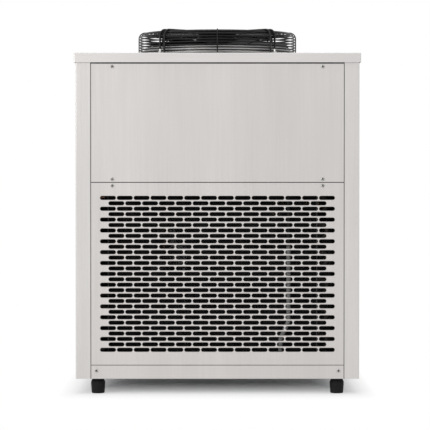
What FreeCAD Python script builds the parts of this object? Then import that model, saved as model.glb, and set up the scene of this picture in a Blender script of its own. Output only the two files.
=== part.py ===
import FreeCAD, Part
import math
import os
import re
import Sketcher

# Air-cooled water chiller: a stainless-steel cabinet on rubber feet, with a
# punched air-inlet grille in front, and an axial fan under a wire basket on its lid.
# The origin is the middle of the footprint on the floor: +Z is up, the grille
# faces -Y, and +X is to the right. All lengths are in millimetres.

SIZES = {
    # Cabinet sheet metal
    "body_width": 650,
    "body_depth": 550,
    "cabinet_top": 782,
    "panel_sheet": 1.2,
    "bend_radius": 2,
    "post_width": 34,
    "panel_gap": 1.4,
    "lip_width": 22,
    "lid_flange": 22,
    "lid_overhang": 3.5,
    "lid_seam": 2.4,
    "kick_height": 31,
    "kick_gap": 0.9,
    "grille_height": 417.9,
    "seam_gap": 1.4,
    # Base tray and rubber feet
    "tray_sheet": 2,
    "tray_flange": 26,
    "tray_clearance": 0.2,
    "foot_height": 35,
    "foot_radius": 16.75,
    "foot_top_radius": 12.1,
    "foot_base_radius": 14.8,
    "foot_shoulder": 9,
    "foot_round": 12,
    "foot_edge": 2.2,
    "foot_bore": 4.4,
    "foot_sink_radius": 7.6,
    "foot_sink_depth": 20,
    "foot_span_across": 550,
    "foot_span_along": 490,
    "foot_bolt_radius": 4,
    "foot_bolt_head_radius": 7,
    "foot_bolt_head": 5,
    "foot_bolt_grip": 25,
    # Cross rails behind the panels
    "rail_sheet": 1.5,
    "rail_height": 44,
    "rail_depth": 20,
    "rail_tab": 20,
    # Air-inlet grille
    "slot_length": 35.8,
    "slot_height": 8.8,
    "slot_pitch": 38.58,
    "slots_across": 14,
    "slot_rows": 15,
    "row_pitch": 12.44,
    # Pan-head screws
    "screw_radius": 2,
    "screw_length": 10,
    "head_radius": 4,
    "head_height": 2.4,
    "head_crown_radius": 3.2,
    "shank_play": 0.05,
    "screw_tip_radius": 1.6,
    "screw_tip_length": 0.6,
    "hole_play": 0.25,
    "panel_screw_span": 482,
    "screw_edge": 7.6,
    "top_screw_drop": 31.6,
    "kick_screw_span": 554.8,
    "kick_screw_drop": 12.4,
    "lid_screw_span": 360,
    "lid_screw_drop": 11,
    # Fan collar and wire basket
    "collar_radius": 176.2,
    "collar_sheet": 1.2,
    "collar_rise": 22,
    "collar_drop": 24,
    "collar_flange": 6.5,
    "ring_wire": 3.4,
    "rib_wire": 2.8,
    "strut_wire": 4.5,
    "wire_weld": 0.3,
    "basket_radius": 185.2,
    "basket_height": 57.7,
    "basket_bend": 12,
    "first_ring_rise": 5,
    "ring_pitch": 6.45,
    "top_ring_pitch": 9,
    "strut_spacing": 14,
    "strut_bend": 3,
    "eye_span_across": 268,
    "eye_span_along": 285,
    "strut_inner_radius": 24,
    "rib_overlap": 3,
    "rib_tail": 3,
    "motor_plate_radius": 53,
    "plate_ring_gap": 6,
    "motor_plate_sheet": 2.5,
    "guard_stud_radius": 2.5,
    "guard_stud_rise": 15,
    "guard_stud_head": 4.2,
    "guard_nut_radius": 4.6,
    "guard_nut_height": 4,
    "guard_washer_radius": 7.3,
    "guard_washer_sheet": 1.2,
    # Fan motor and impeller
    "motor_radius": 46,
    "motor_flange": 6,
    "motor_screw_circle": 30,
    "spindle_radius": 10,
    "spindle_play": 0.05,
    "rotor_radius": 51,
    "rotor_height": 68,
    "rotor_gap": 2,
    "rotor_round": 4,
    "spindle_length": 54.4,
    "hub_sheet": 2.5,
    "hub_height": 54,
    "hub_drop": 8,
    "blade_count": 5,
    "blade_sheet": 2.2,
    "blade_tip_radius": 171.5,
    "blade_overlap": 4,
    "blade_root_chord": 78,
    "blade_middle_chord": 108,
    "blade_tip_chord": 128,
    "blade_root_pitch": 38,
    "blade_middle_pitch": 28,
    "blade_tip_pitch": 21,
    "blade_middle_sweep": 12,
    "blade_tip_sweep": 52,
    "blade_camber": 7,
    "blade_rest_turn": 60,
    # Condenser
    "condenser_left": 253,
    "condenser_right": 230,
    "condenser_front": 236,
    "condenser_depth": 44,
    "condenser_top": 478,
    "condenser_plate": 1.5,
    "condenser_lip": 15,
    "fin_inset": 2,
    "fin_bottom": 76,
    "tube_radius": 4.8,
    "tube_play": 0.1,
    "tube_rows": 12,
    "tube_pitch": 32,
    "tube_overhang": 8,
    # Compressor
    "compressor_across": 165,
    "compressor_along": 10,
    "compressor_radius": 84,
    "compressor_height": 235,
    "compressor_dome": 30,
    "mount_plate_width": 200,
    "mount_plate_depth": 150,
    "mount_plate_sheet": 3,
    "grommet_radius": 13,
    "grommet_height": 15,
    "mount_bolt_radius": 4,
    "mount_bolt_head_radius": 9,
    "mount_bolt_head": 5,
    "terminal_width": 46,
    "terminal_height": 62,
    "terminal_depth": 24,
    "terminal_rise": 60,
    "terminal_sink": 12,
    # Water tank, pump and plate exchanger
    "tank_left": 70,
    "tank_width": 200,
    "tank_front": 150,
    "tank_return_level": 330,
    "tank_lid_sheet": 2,
    "tank_lid_rim": 3,
    "tank_depth": 190,
    "tank_height": 330,
    "tank_sheet": 1.5,
    "tank_corner": 6,
    "tank_spout_radius": 13,
    "tank_spout_length": 18,
    "pump_across": 60,
    "pump_along": 150,
    "pump_axis_height": 62,
    "pump_radius": 48,
    "pump_length": 38,
    "pump_corner": 6,
    "pump_motor_radius": 44,
    "pump_motor_length": 120,
    "pump_neck": 6,
    "pump_foot_width": 44,
    "pump_foot_depth": 61.6,
    "exchanger_width": 76,
    "exchanger_depth": 60,
    "exchanger_height": 310,
    "exchanger_left": 150,
    "exchanger_along": 190,
    "exchanger_rise": 30,
    "exchanger_corner": 12,
    "exchanger_port_inset": 19,
    "exchanger_port_low": 43,
    "exchanger_port_high": 273,
    "bracket_sheet": 2,
    # Pipes and hoses
    "hot_pipe_radius": 4.8,
    "suction_pipe_radius": 8,
    "hose_radius": 11,
    "riser_across": 163.5,
    "riser_along": 245,
    "riser_foot_across": 145,
    "pipe_bend": 14,
    "suction_bend": 20,
    "hose_bend": 25,
    "high_pipe_level": 520,
    "low_pipe_level": 58,
    "side_pipe_inset": 33,
    "drier_radius": 17,
    "drier_length": 90,
    "drier_round": 8.5,
    "valve_radius": 13.6,
    "valve_height": 51,
    "valve_rise": 30,
    "discharge_shift": 40,
    "discharge_gap": 60,
    "riser_bend_low": 67,
    "riser_bend_high": 107,
    "feed_gap": 60,
    "suction_shift": 15,
    "suction_gap": 30,
    "pump_hose_across": 10,
    "delivery_rise": 62,
    "delivery_step": 10,
    "supply_step": 5,
    # Water connections at the back
    "port_across": 150,
    "port_spacing": 90,
    "port_height": 420,
    "port_flange_radius": 22,
    "port_flange": 3.4,
    "port_body_radius": 16,
    "port_body_length": 44,
    "port_bore": 12.1,
    "port_thread_length": 18,
    "port_waist": 8,
    "port_nut_radius": 23,
    "port_nut_height": 7,
    "drain_height": 110,
    "cable_across": 230,
    "cable_height": 110,
    "cable_bore": 5,
    "cable_bush_radius": 10,
    "cable_bush_length": 16,
    "cable_flange_radius": 13,
    # Operating controls at the back
    "control_across": 150,
    "control_height": 660,
    "control_width": 77,
    "control_tall": 35,
    "control_bezel": 2.6,
    "control_body_width": 70,
    "control_body_tall": 28,
    "control_body_depth": 60,
    "control_play": 0.3,
    "window_width": 40,
    "window_tall": 20,
    "window_shift": 13,
    "window_sheet": 1,
    "key_width": 9,
    "key_tall": 7,
    "key_spacing": 11,
    "key_row": 5.5,
    "key_shift": 20,
    "key_length": 5,
    "key_travel": 0.6,
    "key_play": 0.2,
    "switch_across": 60,
    "switch_width": 16,
    "switch_tall": 24,
    "switch_rim": 2.4,
    "switch_frame": 1.8,
    "switch_depth": 20,
    "switch_hollow_width": 13,
    "switch_hollow_tall": 20.4,
    "switch_hollow_depth": 14,
    "rocker_width": 12.4,
    "rocker_tall": 18,
    "rocker_thickness": 7,
    "rocker_pivot_depth": 5,
    "rocker_crown": 4.2,
    "rocker_tilt": 8,
    "rocker_pin": 1.2,
    "box_left": 250,
    "box_width": 220,
    "box_depth": 90,
    "box_height": 180,
    "box_bottom": 540,
}

# Levels and planes that several pieces share, worked out from the sizes
FRONT = "(0 - body_depth / 2)"
BACK = "(body_depth / 2)"
TRAY_FLOOR = "(foot_height + tray_sheet)"
GRILLE_LOW = "(foot_height + kick_height + kick_gap)"
GRILLE_HIGH = "(foot_height + kick_height + kick_gap + grille_height)"
UPPER_LOW = "(foot_height + kick_height + kick_gap + grille_height + seam_gap)"
UPPER_HIGH = "(cabinet_top - lid_flange - lid_seam)"
SEAM = "(foot_height + kick_height + kick_gap + grille_height + seam_gap / 2)"
PANEL_HALF = "(body_width / 2 - post_width - panel_gap)"
RING_SURFACE = "(basket_height + ring_wire / 2)"
SCREW_HOLE = "(screw_radius + hole_play)"
ROTOR_TOP = "(cabinet_top + basket_height + ring_wire / 2 - motor_plate_sheet - motor_flange - rotor_gap)"

doc = FreeCAD.newDocument("water_chiller")
sheet = doc.addObject("Spreadsheet::Sheet", "sheet")
for row, (name, number) in enumerate(SIZES.items(), start=1):
    sheet.set(f"A{row}", name)
    sheet.set(f"B{row}", str(number))
    sheet.setAlias(f"B{row}", name)
doc.recompute()
probe = doc.addObject("App::FeaturePython", "probe")


def bound(formula):
    """The formula with each size's name written as its cell on the sheet."""
    return re.sub(r"[a-z][a-z_]*", r"sheet.\g<0>", str(formula))


def value(formula):
    """The number that a formula of sizes comes to."""
    return float(probe.evalExpression(bound(formula)))


def bind(item, prop, formula):
    """Tie a property to a formula of sizes."""
    item.setExpression(prop, bound(formula))


def place(item, x="0", y="0", z="0", axis=None, angle=0):
    """Put an object at a point given by formulas, turned about an axis."""
    if axis:
        turn = FreeCAD.Rotation(FreeCAD.Vector(*axis), angle)
        item.Placement = FreeCAD.Placement(FreeCAD.Vector(0, 0, 0), turn)
    bind(item, ".Placement.Base.x", x)
    bind(item, ".Placement.Base.y", y)
    bind(item, ".Placement.Base.z", z)


def new_body(name):
    body = doc.addObject("PartDesign::Body", name)
    body.Label = name
    return body


def new_sketch(body, role, offset="0"):
    """A sketch on one of the body's origin planes, moved along the plane's normal."""
    plane = [item for item in body.Origin.OriginFeatures if item.Role == role][0]
    sketch = body.newObject("Sketcher::SketchObject", body.Name + "_sketch")
    sketch.AttachmentSupport = [(plane, "")]
    sketch.MapMode = "FlatFace"
    bind(sketch, ".AttachmentOffset.Base.z", offset)
    return sketch


def pin(sketch, shape, end, x, y):
    """Hold one point of a sketch shape at a place given by two formulas."""
    for kind, formula, line in (("DistanceX", x, -2), ("DistanceY", y, -1)):
        number = value(formula)
        if abs(number) < 1e-9:
            sketch.addConstraint(Sketcher.Constraint("PointOnObject", shape, end, line))
            continue
        held = sketch.addConstraint(Sketcher.Constraint(kind, -1, 1, shape, end, number))
        sketch.setExpression(f"Constraints[{held}]", bound(formula))


def outline(sketch, corners):
    """A closed outline of straight lines through corners given as formulas."""
    points = [FreeCAD.Vector(value(x), value(y), 0) for x, y in corners]
    count = len(points)
    first = sketch.GeometryCount
    for index in range(count):
        sketch.addGeometry(Part.LineSegment(points[index], points[(index + 1) % count]))
    for index in range(count):
        follower = first + (index + 1) % count
        sketch.addConstraint(Sketcher.Constraint("Coincident", first + index, 2, follower, 1))
    for index, (x, y) in enumerate(corners):
        pin(sketch, first + index, 1, x, y)


def rectangle(sketch, left, low, right, high):
    outline(sketch, [(left, low), (right, low), (right, high), (left, high)])


def circle(sketch, x, y, radius):
    middle = FreeCAD.Vector(value(x), value(y), 0)
    normal = FreeCAD.Vector(0, 0, 1)
    ring = sketch.addGeometry(Part.Circle(middle, normal, value(radius)))
    pin(sketch, ring, 3, x, y)
    held = sketch.addConstraint(Sketcher.Constraint("Radius", ring, value(radius)))
    sketch.setExpression(f"Constraints[{held}]", bound(radius))


def slot(sketch, x, y, length, height):
    """A level slot with full-radius ends, centred on a point."""
    radius = value(height) / 2
    reach = value(length) / 2 - radius
    middle = FreeCAD.Vector(value(x), value(y), 0)
    normal = FreeCAD.Vector(0, 0, 1)
    left = middle - FreeCAD.Vector(reach, 0, 0)
    right = middle + FreeCAD.Vector(reach, 0, 0)
    rise = FreeCAD.Vector(0, radius, 0)
    half = math.pi / 2
    first = sketch.addGeometry(Part.LineSegment(left - rise, right - rise))
    sketch.addGeometry(Part.ArcOfCircle(Part.Circle(right, normal, radius), -half, half))
    sketch.addGeometry(Part.LineSegment(right + rise, left + rise))
    sketch.addGeometry(Part.ArcOfCircle(Part.Circle(left, normal, radius), half, 3 * half))
    for line, line_end, arc, arc_end in ((0, 2, 1, 1), (2, 1, 1, 2), (2, 2, 3, 1), (0, 1, 3, 2)):
        joint = ("Tangent", first + line, line_end, first + arc, arc_end)
        sketch.addConstraint(Sketcher.Constraint(*joint))
    pin(sketch, first + 1, 3, f"{x} + ({length}) / 2 - ({height}) / 2", y)
    pin(sketch, first + 3, 3, f"{x} - ({length}) / 2 + ({height}) / 2", y)
    held = sketch.addConstraint(Sketcher.Constraint("Radius", first + 1, radius))
    sketch.setExpression(f"Constraints[{held}]", bound(f"({height}) / 2"))


def pad(body, sketch, length, back=False):
    """Raise a sketch into a solid, or join it to the body's solid."""
    raised = body.newObject("PartDesign::Pad", body.Name + "_pad")
    raised.Profile = sketch
    raised.Reversed = back
    bind(raised, "Length", length)
    sketch.Visibility = False
    return raised


def pocket(body, sketch, length=None, back=False):
    """Cut a sketch out of the body, right through it or to a depth."""
    cut = body.newObject("PartDesign::Pocket", body.Name + "_pocket")
    cut.Profile = sketch
    cut.Reversed = back
    if length:
        bind(cut, "Length", length)
    else:
        cut.Type = "ThroughAll"
    sketch.Visibility = False
    return cut


def revolve(body, sketch, axis="V_Axis"):
    turned = body.newObject("PartDesign::Revolution", body.Name + "_turned")
    turned.Profile = sketch
    turned.ReferenceAxis = (sketch, [axis])
    turned.Angle = 360
    return turned


def round_edges(body, radius, wanted):
    """Fillet the edges of the body's solid whose middle passes the test."""
    doc.recompute()
    base = body.Tip
    names = []
    for index, edge in enumerate(base.Shape.Edges, start=1):
        if wanted(edge):
            names.append(f"Edge{index}")
    fillet = body.newObject("PartDesign::Fillet", body.Name + "_fillet")
    fillet.Base = (base, names)
    bind(fillet, "Radius", radius)
    return fillet


def upright(edge):
    """Whether an edge runs straight up."""
    ends = edge.Vertexes
    if len(ends) != 2:
        return False
    step = ends[1].Point - ends[0].Point
    return abs(step.x) < 1e-6 and abs(step.y) < 1e-6


def lies_flat(edge):
    return edge.BoundBox.ZLength < 0.01


def near(number, formula):
    return abs(number - value(formula)) < 1e-4


def copies(name, original, places):
    """One node that holds a copy of the original at each place."""
    group = doc.addObject("Part::Compound", name)
    group.Label = name
    links = []
    for index, (x, y, z, axis, angle) in enumerate(places, start=1):
        link = doc.addObject("App::Link", f"{name}_{index}")
        link.LinkedObject = original
        place(link, x, y, z, axis, angle)
        links.append(link)
    group.Links = links
    return group


def path_wire(points, bend):
    """A wire of straight runs through points, its corners rounded by tangent arcs."""
    corners = [FreeCAD.Vector(*point) for point in points]
    edges = []
    start = corners[0]
    for before, corner, after in zip(corners, corners[1:], corners[2:]):
        back = (before - corner).normalize()
        ahead = (after - corner).normalize()
        turn = math.pi - back.getAngle(ahead)
        reach = bend * math.tan(turn / 2)
        arc_start = corner + back * reach
        arc_end = corner + ahead * reach
        middle = (back + ahead).normalize()
        arc_middle = corner + middle * (bend / math.cos(turn / 2) - bend)
        if start.distanceToPoint(arc_start) > 1e-6:
            edges.append(Part.LineSegment(start, arc_start).toShape())
        edges.append(Part.Arc(arc_start, arc_middle, arc_end).toShape())
        start = arc_end
    edges.append(Part.LineSegment(start, corners[-1]).toShape())
    return Part.Wire(edges)


def pipe(name, radius, bend, points):
    """A pipe swept along straight runs and bends between points."""
    spine = doc.addObject("Part::Feature", name + "_path")
    spine.Shape = path_wire(points, bend)
    ring = doc.addObject("Part::Circle", name + "_section")
    bind(ring, "Radius", radius)
    start = FreeCAD.Vector(*points[0])
    ahead = FreeCAD.Vector(*points[1]) - start
    turn = FreeCAD.Rotation(FreeCAD.Vector(0, 0, 1), ahead)
    ring.Placement = FreeCAD.Placement(start, turn)
    swept = doc.addObject("Part::Sweep", name)
    swept.Label = name
    swept.Sections = [ring]
    swept.Spine = (spine, [f"Edge{index + 1}" for index in range(len(spine.Shape.Edges))])
    swept.Solid = True
    swept.Frenet = False
    return swept


# Base tray: folded steel, a floor with an upturned flange all round
TRAY_HALF_WIDTH = "(body_width / 2 - panel_sheet - tray_clearance)"
TRAY_HALF_DEPTH = "(body_depth / 2 - 2 * panel_sheet - tray_clearance)"


def minus(formula):
    return f"(0 - {formula})"


def make_base_tray():
    tray = new_body("base_tray")
    sketch = new_sketch(tray, "XY_Plane", "foot_height")
    rectangle(sketch, minus(TRAY_HALF_WIDTH), minus(TRAY_HALF_DEPTH), TRAY_HALF_WIDTH, TRAY_HALF_DEPTH)
    pad(tray, sketch, "tray_flange")
    inside_width = f"({TRAY_HALF_WIDTH} - tray_sheet)"
    inside_depth = f"({TRAY_HALF_DEPTH} - tray_sheet)"
    hollow = new_sketch(tray, "XY_Plane", "foot_height + tray_flange")
    rectangle(hollow, minus(inside_width), minus(inside_depth), inside_width, inside_depth)
    pocket(tray, hollow, "tray_flange - tray_sheet")
    holes = new_sketch(tray, "XY_Plane", "foot_height + tray_sheet")
    for x in ("foot_span_across / 2", "(0 - foot_span_across / 2)"):
        for y in ("foot_span_along / 2", "(0 - foot_span_along / 2)"):
            circle(holes, x, y, "foot_bolt_radius + hole_play")
    pocket(tray, holes, "tray_sheet")
    kick_holes = new_sketch(tray, "XZ_Plane", TRAY_HALF_DEPTH)
    for x in ("kick_screw_span / 2", "(0 - kick_screw_span / 2)"):
        circle(kick_holes, x, "foot_height + kick_height - kick_screw_drop", SCREW_HOLE)
    pocket(tray, kick_holes, "tray_sheet")
    back_holes = new_sketch(tray, "XZ_Plane", minus(TRAY_HALF_DEPTH))
    for x in ("panel_screw_span / 2", "(0 - panel_screw_span / 2)"):
        circle(back_holes, x, "foot_height + tray_flange / 2", SCREW_HOLE)
    pocket(tray, back_holes, "tray_sheet", back=True)
    return tray


# Side panels: each wraps round to make the corner posts, then steps in by one
# sheet behind the front and back panels, as the lip that they are screwed to
def make_side_panel(name, side):
    panel = new_body(name)
    outer = f"({side} * body_width / 2)"
    inner = f"({side} * (body_width / 2 - panel_sheet))"
    post = f"({side} * (body_width / 2 - post_width))"
    step = f"({side} * (body_width / 2 - post_width + panel_sheet))"
    lip = f"({side} * (body_width / 2 - post_width - panel_gap - lip_width))"
    face = f"({BACK} - panel_sheet)"
    deep = f"({BACK} - 2 * panel_sheet)"
    corners = [
        (outer, minus(BACK)), (post, minus(BACK)), (post, minus(face)), (lip, minus(face)),
        (lip, minus(deep)), (step, minus(deep)), (step, minus(face)), (inner, minus(face)),
        (inner, face), (step, face), (step, deep), (lip, deep),
        (lip, face), (post, face), (post, BACK), (outer, BACK),
    ]
    sketch = new_sketch(panel, "XY_Plane", "foot_height")
    outline(sketch, corners)
    pad(panel, sketch, "cabinet_top - panel_sheet - foot_height")

    def outer_bend(edge):
        return upright(edge) and near(edge.CenterOfMass.x, outer)

    round_edges(panel, "bend_radius", outer_bend)
    kick_holes = new_sketch(panel, "XZ_Plane", "body_depth / 2")
    circle(kick_holes, f"({side} * kick_screw_span / 2)",
           "foot_height + kick_height - kick_screw_drop", SCREW_HOLE)
    pocket(panel, kick_holes, "3 * panel_sheet")
    lid_holes = new_sketch(panel, "YZ_Plane", outer)
    for y in ("lid_screw_span / 2", "(0 - lid_screw_span / 2)"):
        circle(lid_holes, y, "cabinet_top - lid_screw_drop", SCREW_HOLE)
    pocket(panel, lid_holes, "2 * panel_sheet", back=side < 0)
    return panel


# Front and back panels: flat sheets that lie flush between the posts. The side is
# -1 at the front and 1 at the back, as their places on the Y axis are
def make_panel(name, side, low, high, screw_rows, cutouts=None):
    panel = new_body(name)
    sketch = new_sketch(panel, "XZ_Plane", f"(0 - {side} * (body_depth / 2 - panel_sheet))")
    rectangle(sketch, minus(PANEL_HALF), low, PANEL_HALF, high)
    pad(panel, sketch, "panel_sheet", back=side > 0)
    holes = new_sketch(panel, "XZ_Plane", f"(0 - {side} * body_depth / 2)")
    for span, level in screw_rows:
        circle(holes, f"({span} / 2)", level, SCREW_HOLE)
        circle(holes, f"(0 - {span} / 2)", level, SCREW_HOLE)
    if cutouts:
        cutouts(holes)
    pocket(panel, holes, "panel_sheet", back=side > 0)
    return panel


KICK_SCREW_LEVEL = "(foot_height + kick_height - kick_screw_drop)"
LOW_SCREW_LEVEL = f"({SEAM} - screw_edge)"
HIGH_SCREW_LEVEL = f"({SEAM} + screw_edge)"
TOP_SCREW_LEVEL = "(cabinet_top - top_screw_drop)"


# Grille panel: staggered rows of round-ended slots, punched through the sheet
def make_grille_panel():
    slot_outline = doc.addObject("Sketcher::SketchObject", "slot_outline")
    slot(slot_outline, "0", "0", "slot_length", "slot_height")
    sheet_outline = doc.addObject("Sketcher::SketchObject", "sheet_outline")
    rectangle(sheet_outline, minus(PANEL_HALF), GRILLE_LOW, PANEL_HALF, GRILLE_HIGH)
    screw_hole = doc.addObject("Sketcher::SketchObject", "screw_hole_outline")
    circle(screw_hole, "0", LOW_SCREW_LEVEL, SCREW_HOLE)
    doc.recompute()
    wires = [sheet_outline.Shape]
    for x in (value("panel_screw_span / 2"), -value("panel_screw_span / 2")):
        wires.append(screw_hole.Shape.translated(FreeCAD.Vector(x, 0, 0)))
    across = round(value("slots_across"))
    long_rows = round(value("slot_rows"))
    pitch = value("slot_pitch")
    middle = value(f"{GRILLE_LOW} + grille_height / 2")
    for row in range(2 * long_rows - 1):
        count = across - row % 2
        level = middle + (row - long_rows + 1) * value("row_pitch")
        for column in range(count):
            x = (column - (count - 1) / 2) * pitch
            wires.append(slot_outline.Shape.translated(FreeCAD.Vector(x, level, 0)))
    punched = doc.addObject("Part::Feature", "grille_outline")
    punched.Shape = Part.makeCompound([wire.Wires[0] for wire in wires])
    panel = doc.addObject("Part::Extrusion", "front_grille_panel")
    panel.Label = "front_grille_panel"
    panel.Base = punched
    panel.DirMode = "Custom"
    panel.Dir = FreeCAD.Vector(0, 0, 1)
    panel.Solid = True
    bind(panel, "LengthFwd", "panel_sheet")
    place(panel, "0", "panel_sheet - body_depth / 2", "0", (1, 0, 0), 90)
    return panel


# Cross rails: folded channels behind the panels, with tabs that are welded to
# the lips of the side panels
def make_rail(name, side, low, high, screw_levels):
    rail = new_body(name)
    end = "(body_width / 2 - post_width - panel_gap - lip_width - tray_clearance)"
    face = f"({side} * (body_depth / 2 - panel_sheet))"
    inner = f"({side} * (body_depth / 2 - panel_sheet - rail_sheet))"
    deep = f"({side} * (body_depth / 2 - panel_sheet - rail_depth))"
    sketch = new_sketch(rail, "YZ_Plane", minus(end))
    outline(sketch, [
        (face, low), (face, high), (deep, high), (deep, f"{high} - rail_sheet"),
        (inner, f"{high} - rail_sheet"), (inner, f"{low} + rail_sheet"),
        (deep, f"{low} + rail_sheet"), (deep, low),
    ])
    pad(rail, sketch, f"2 * {end}")
    tab_end = f"({end} + rail_tab)"
    tabs = new_sketch(rail, "XZ_Plane", minus(f"({side} * (body_depth / 2 - 2 * panel_sheet))"))
    for end_side in (1, -1):
        near_x = f"({end_side} * ({end} - rail_sheet))"
        far_x = f"({end_side} * {tab_end})"
        rectangle(tabs, near_x, f"{low} + 2 * rail_sheet", far_x, f"{high} - 2 * rail_sheet")
    pad(rail, tabs, "rail_sheet", back=side < 0)
    holes = new_sketch(rail, "XZ_Plane", f"(0 - {side} * body_depth / 2)")
    for level in screw_levels:
        circle(holes, "(panel_screw_span / 2)", level, "screw_radius")
        circle(holes, "(0 - panel_screw_span / 2)", level, "screw_radius")
    pocket(rail, holes, "panel_sheet + 2 * rail_sheet", back=side > 0)
    return rail


# Lid: a shallow folded cover whose flange hangs over the panels, with a hole
# for the fan's collar
def make_lid():
    lid = new_body("top_lid")
    half_width = "(body_width / 2 + lid_overhang)"
    half_depth = "(body_depth / 2 + lid_overhang)"
    sketch = new_sketch(lid, "XY_Plane", "cabinet_top - lid_flange")
    rectangle(sketch, minus(half_width), minus(half_depth), half_width, half_depth)
    pad(lid, sketch, "lid_flange")

    def bent(edge):
        return upright(edge) or near(edge.CenterOfMass.z, "cabinet_top")

    round_edges(lid, "bend_radius", bent)
    inside_width = f"({half_width} - panel_sheet)"
    inside_depth = f"({half_depth} - panel_sheet)"
    hollow = new_sketch(lid, "XY_Plane", "cabinet_top - lid_flange")
    rectangle(hollow, minus(inside_width), minus(inside_depth), inside_width, inside_depth)
    pocket(lid, hollow, "lid_flange - panel_sheet", back=True)
    hole = new_sketch(lid, "XY_Plane", "cabinet_top")
    circle(hole, "0", "0", "collar_radius")
    for x, y in GUARD_EYES:
        circle(hole, x, y, "guard_stud_radius + hole_play")
    pocket(lid, hole, "2 * panel_sheet")
    for side in (1, -1):
        holes = new_sketch(lid, "YZ_Plane", f"({side} * {half_width})")
        for y in ("lid_screw_span / 2", "(0 - lid_screw_span / 2)"):
            circle(holes, y, "cabinet_top - lid_screw_drop", SCREW_HOLE)
        pocket(lid, holes, "2 * panel_sheet", back=side < 0)
    return lid


EYE_X = "(eye_span_across / 2)"
EYE_Y = "(eye_span_along / 2)"
GUARD_EYES = [(x, y) for x in (EYE_X, minus(EYE_X)) for y in (EYE_Y, minus(EYE_Y))]


# Screws: one pan-head screw, copied to each hole
def make_screw_pattern():
    screw = new_body("pan_head_screw")
    sketch = new_sketch(screw, "XZ_Plane")
    outline(sketch, [
        ("0", "0 - screw_length"), ("screw_tip_radius", "0 - screw_length"),
        ("screw_radius - shank_play", "screw_tip_length - screw_length"),
        ("screw_radius - shank_play", "0"), ("head_radius", "0"),
        ("head_radius", "head_height / 2"), ("head_crown_radius", "head_height"),
        ("0", "head_height"),
    ])
    revolve(screw, sketch)
    return screw


SCREWS_OUT = {"front": ((1, 0, 0), 90), "back": ((1, 0, 0), -90),
              "right": ((0, 1, 0), 90), "left": ((0, 1, 0), -90), "up": ((0, 0, 1), 0)}


def make_screws():
    screw = make_screw_pattern()
    places = []
    rows = [("front", FRONT, "panel_screw_span", (LOW_SCREW_LEVEL, HIGH_SCREW_LEVEL, TOP_SCREW_LEVEL)),
            ("front", FRONT, "kick_screw_span", (KICK_SCREW_LEVEL,)),
            ("back", BACK, "panel_screw_span",
             (BACK_LOW_SCREW_LEVEL, LOW_SCREW_LEVEL, HIGH_SCREW_LEVEL, TOP_SCREW_LEVEL))]
    for end, plane, span, levels in rows:
        for level in levels:
            for side in (1, -1):
                places.append((f"({side} * {span} / 2)", plane, level, *SCREWS_OUT[end]))
    for side, name in ((1, "right"), (-1, "left")):
        for along in (1, -1):
            x = f"({side} * (body_width / 2 + lid_overhang))"
            y = f"({along} * lid_screw_span / 2)"
            places.append((x, y, LID_SCREW_LEVEL, *SCREWS_OUT[name]))
    for x, y in MOTOR_SCREWS:
        places.append((x, y, f"cabinet_top + {RING_SURFACE}", *SCREWS_OUT["up"]))
    copies("pan_head_screws", screw, places)


MOTOR_SCREWS = [("motor_screw_circle", "0"), ("0", "motor_screw_circle"),
                ("(0 - motor_screw_circle)", "0"), ("0", "(0 - motor_screw_circle)")]
BACK_LOW_SCREW_LEVEL = "(foot_height + tray_flange / 2)"
LID_SCREW_LEVEL = "(cabinet_top - lid_screw_drop)"


# Feet: moulded rubber, bolted up through the tray, with the bolt's head sunk
def make_feet():
    foot = new_body("rubber_foot")
    sketch = new_sketch(foot, "XZ_Plane")
    outline(sketch, [
        ("foot_bore", "foot_sink_depth"), ("foot_sink_radius", "foot_sink_depth"),
        ("foot_sink_radius", "0"), ("foot_base_radius", "0"),
        ("foot_radius", "foot_height - foot_shoulder"),
        ("foot_top_radius", "foot_height"), ("foot_bore", "foot_height"),
    ])
    revolve(foot, sketch)

    def shoulder(edge):
        return lies_flat(edge) and near(edge.BoundBox.XMax, "foot_radius")

    def base(edge):
        return lies_flat(edge) and near(edge.BoundBox.XMax, "foot_base_radius")

    round_edges(foot, "foot_round", shoulder)
    round_edges(foot, "foot_edge", base)
    corners = []
    for along in (1, -1):
        for side in (1, -1):
            corners.append((f"({side} * foot_span_across / 2)", f"({along} * foot_span_along / 2)"))
    copies("rubber_feet", foot, [(x, y, "0", None, 0) for x, y in corners])
    bolt = new_body("foot_bolt")
    sketch = new_sketch(bolt, "XZ_Plane")
    outline(sketch, [
        ("0", "0 - foot_bolt_head"), ("foot_bolt_head_radius", "0 - foot_bolt_head"),
        ("foot_bolt_head_radius", "0"), ("foot_bolt_radius", "0"),
        ("foot_bolt_radius", "foot_bolt_grip"), ("0", "foot_bolt_grip"),
    ])
    revolve(bolt, sketch)
    copies("foot_bolts", bolt, [(x, y, "foot_sink_depth", None, 0) for x, y in corners])


# Fan collar: a spun ring that stands through the lid and is welded to it by a flange
def make_collar():
    collar = new_body("fan_collar")
    sketch = new_sketch(collar, "XZ_Plane", "0")
    outer = "(collar_radius - tray_clearance)"
    inner = f"({outer} - collar_sheet)"
    rim = "(collar_radius + collar_flange)"
    lid_top = "cabinet_top"
    outline(sketch, [
        (inner, f"{lid_top} - collar_drop"), (outer, f"{lid_top} - collar_drop"),
        (outer, lid_top), (rim, lid_top), (rim, f"{lid_top} + collar_sheet"),
        (outer, f"{lid_top} + collar_sheet"), (outer, f"{lid_top} + collar_rise"),
        (inner, f"{lid_top} + collar_rise"),
    ])
    revolve(collar, sketch)
    return collar


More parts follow.
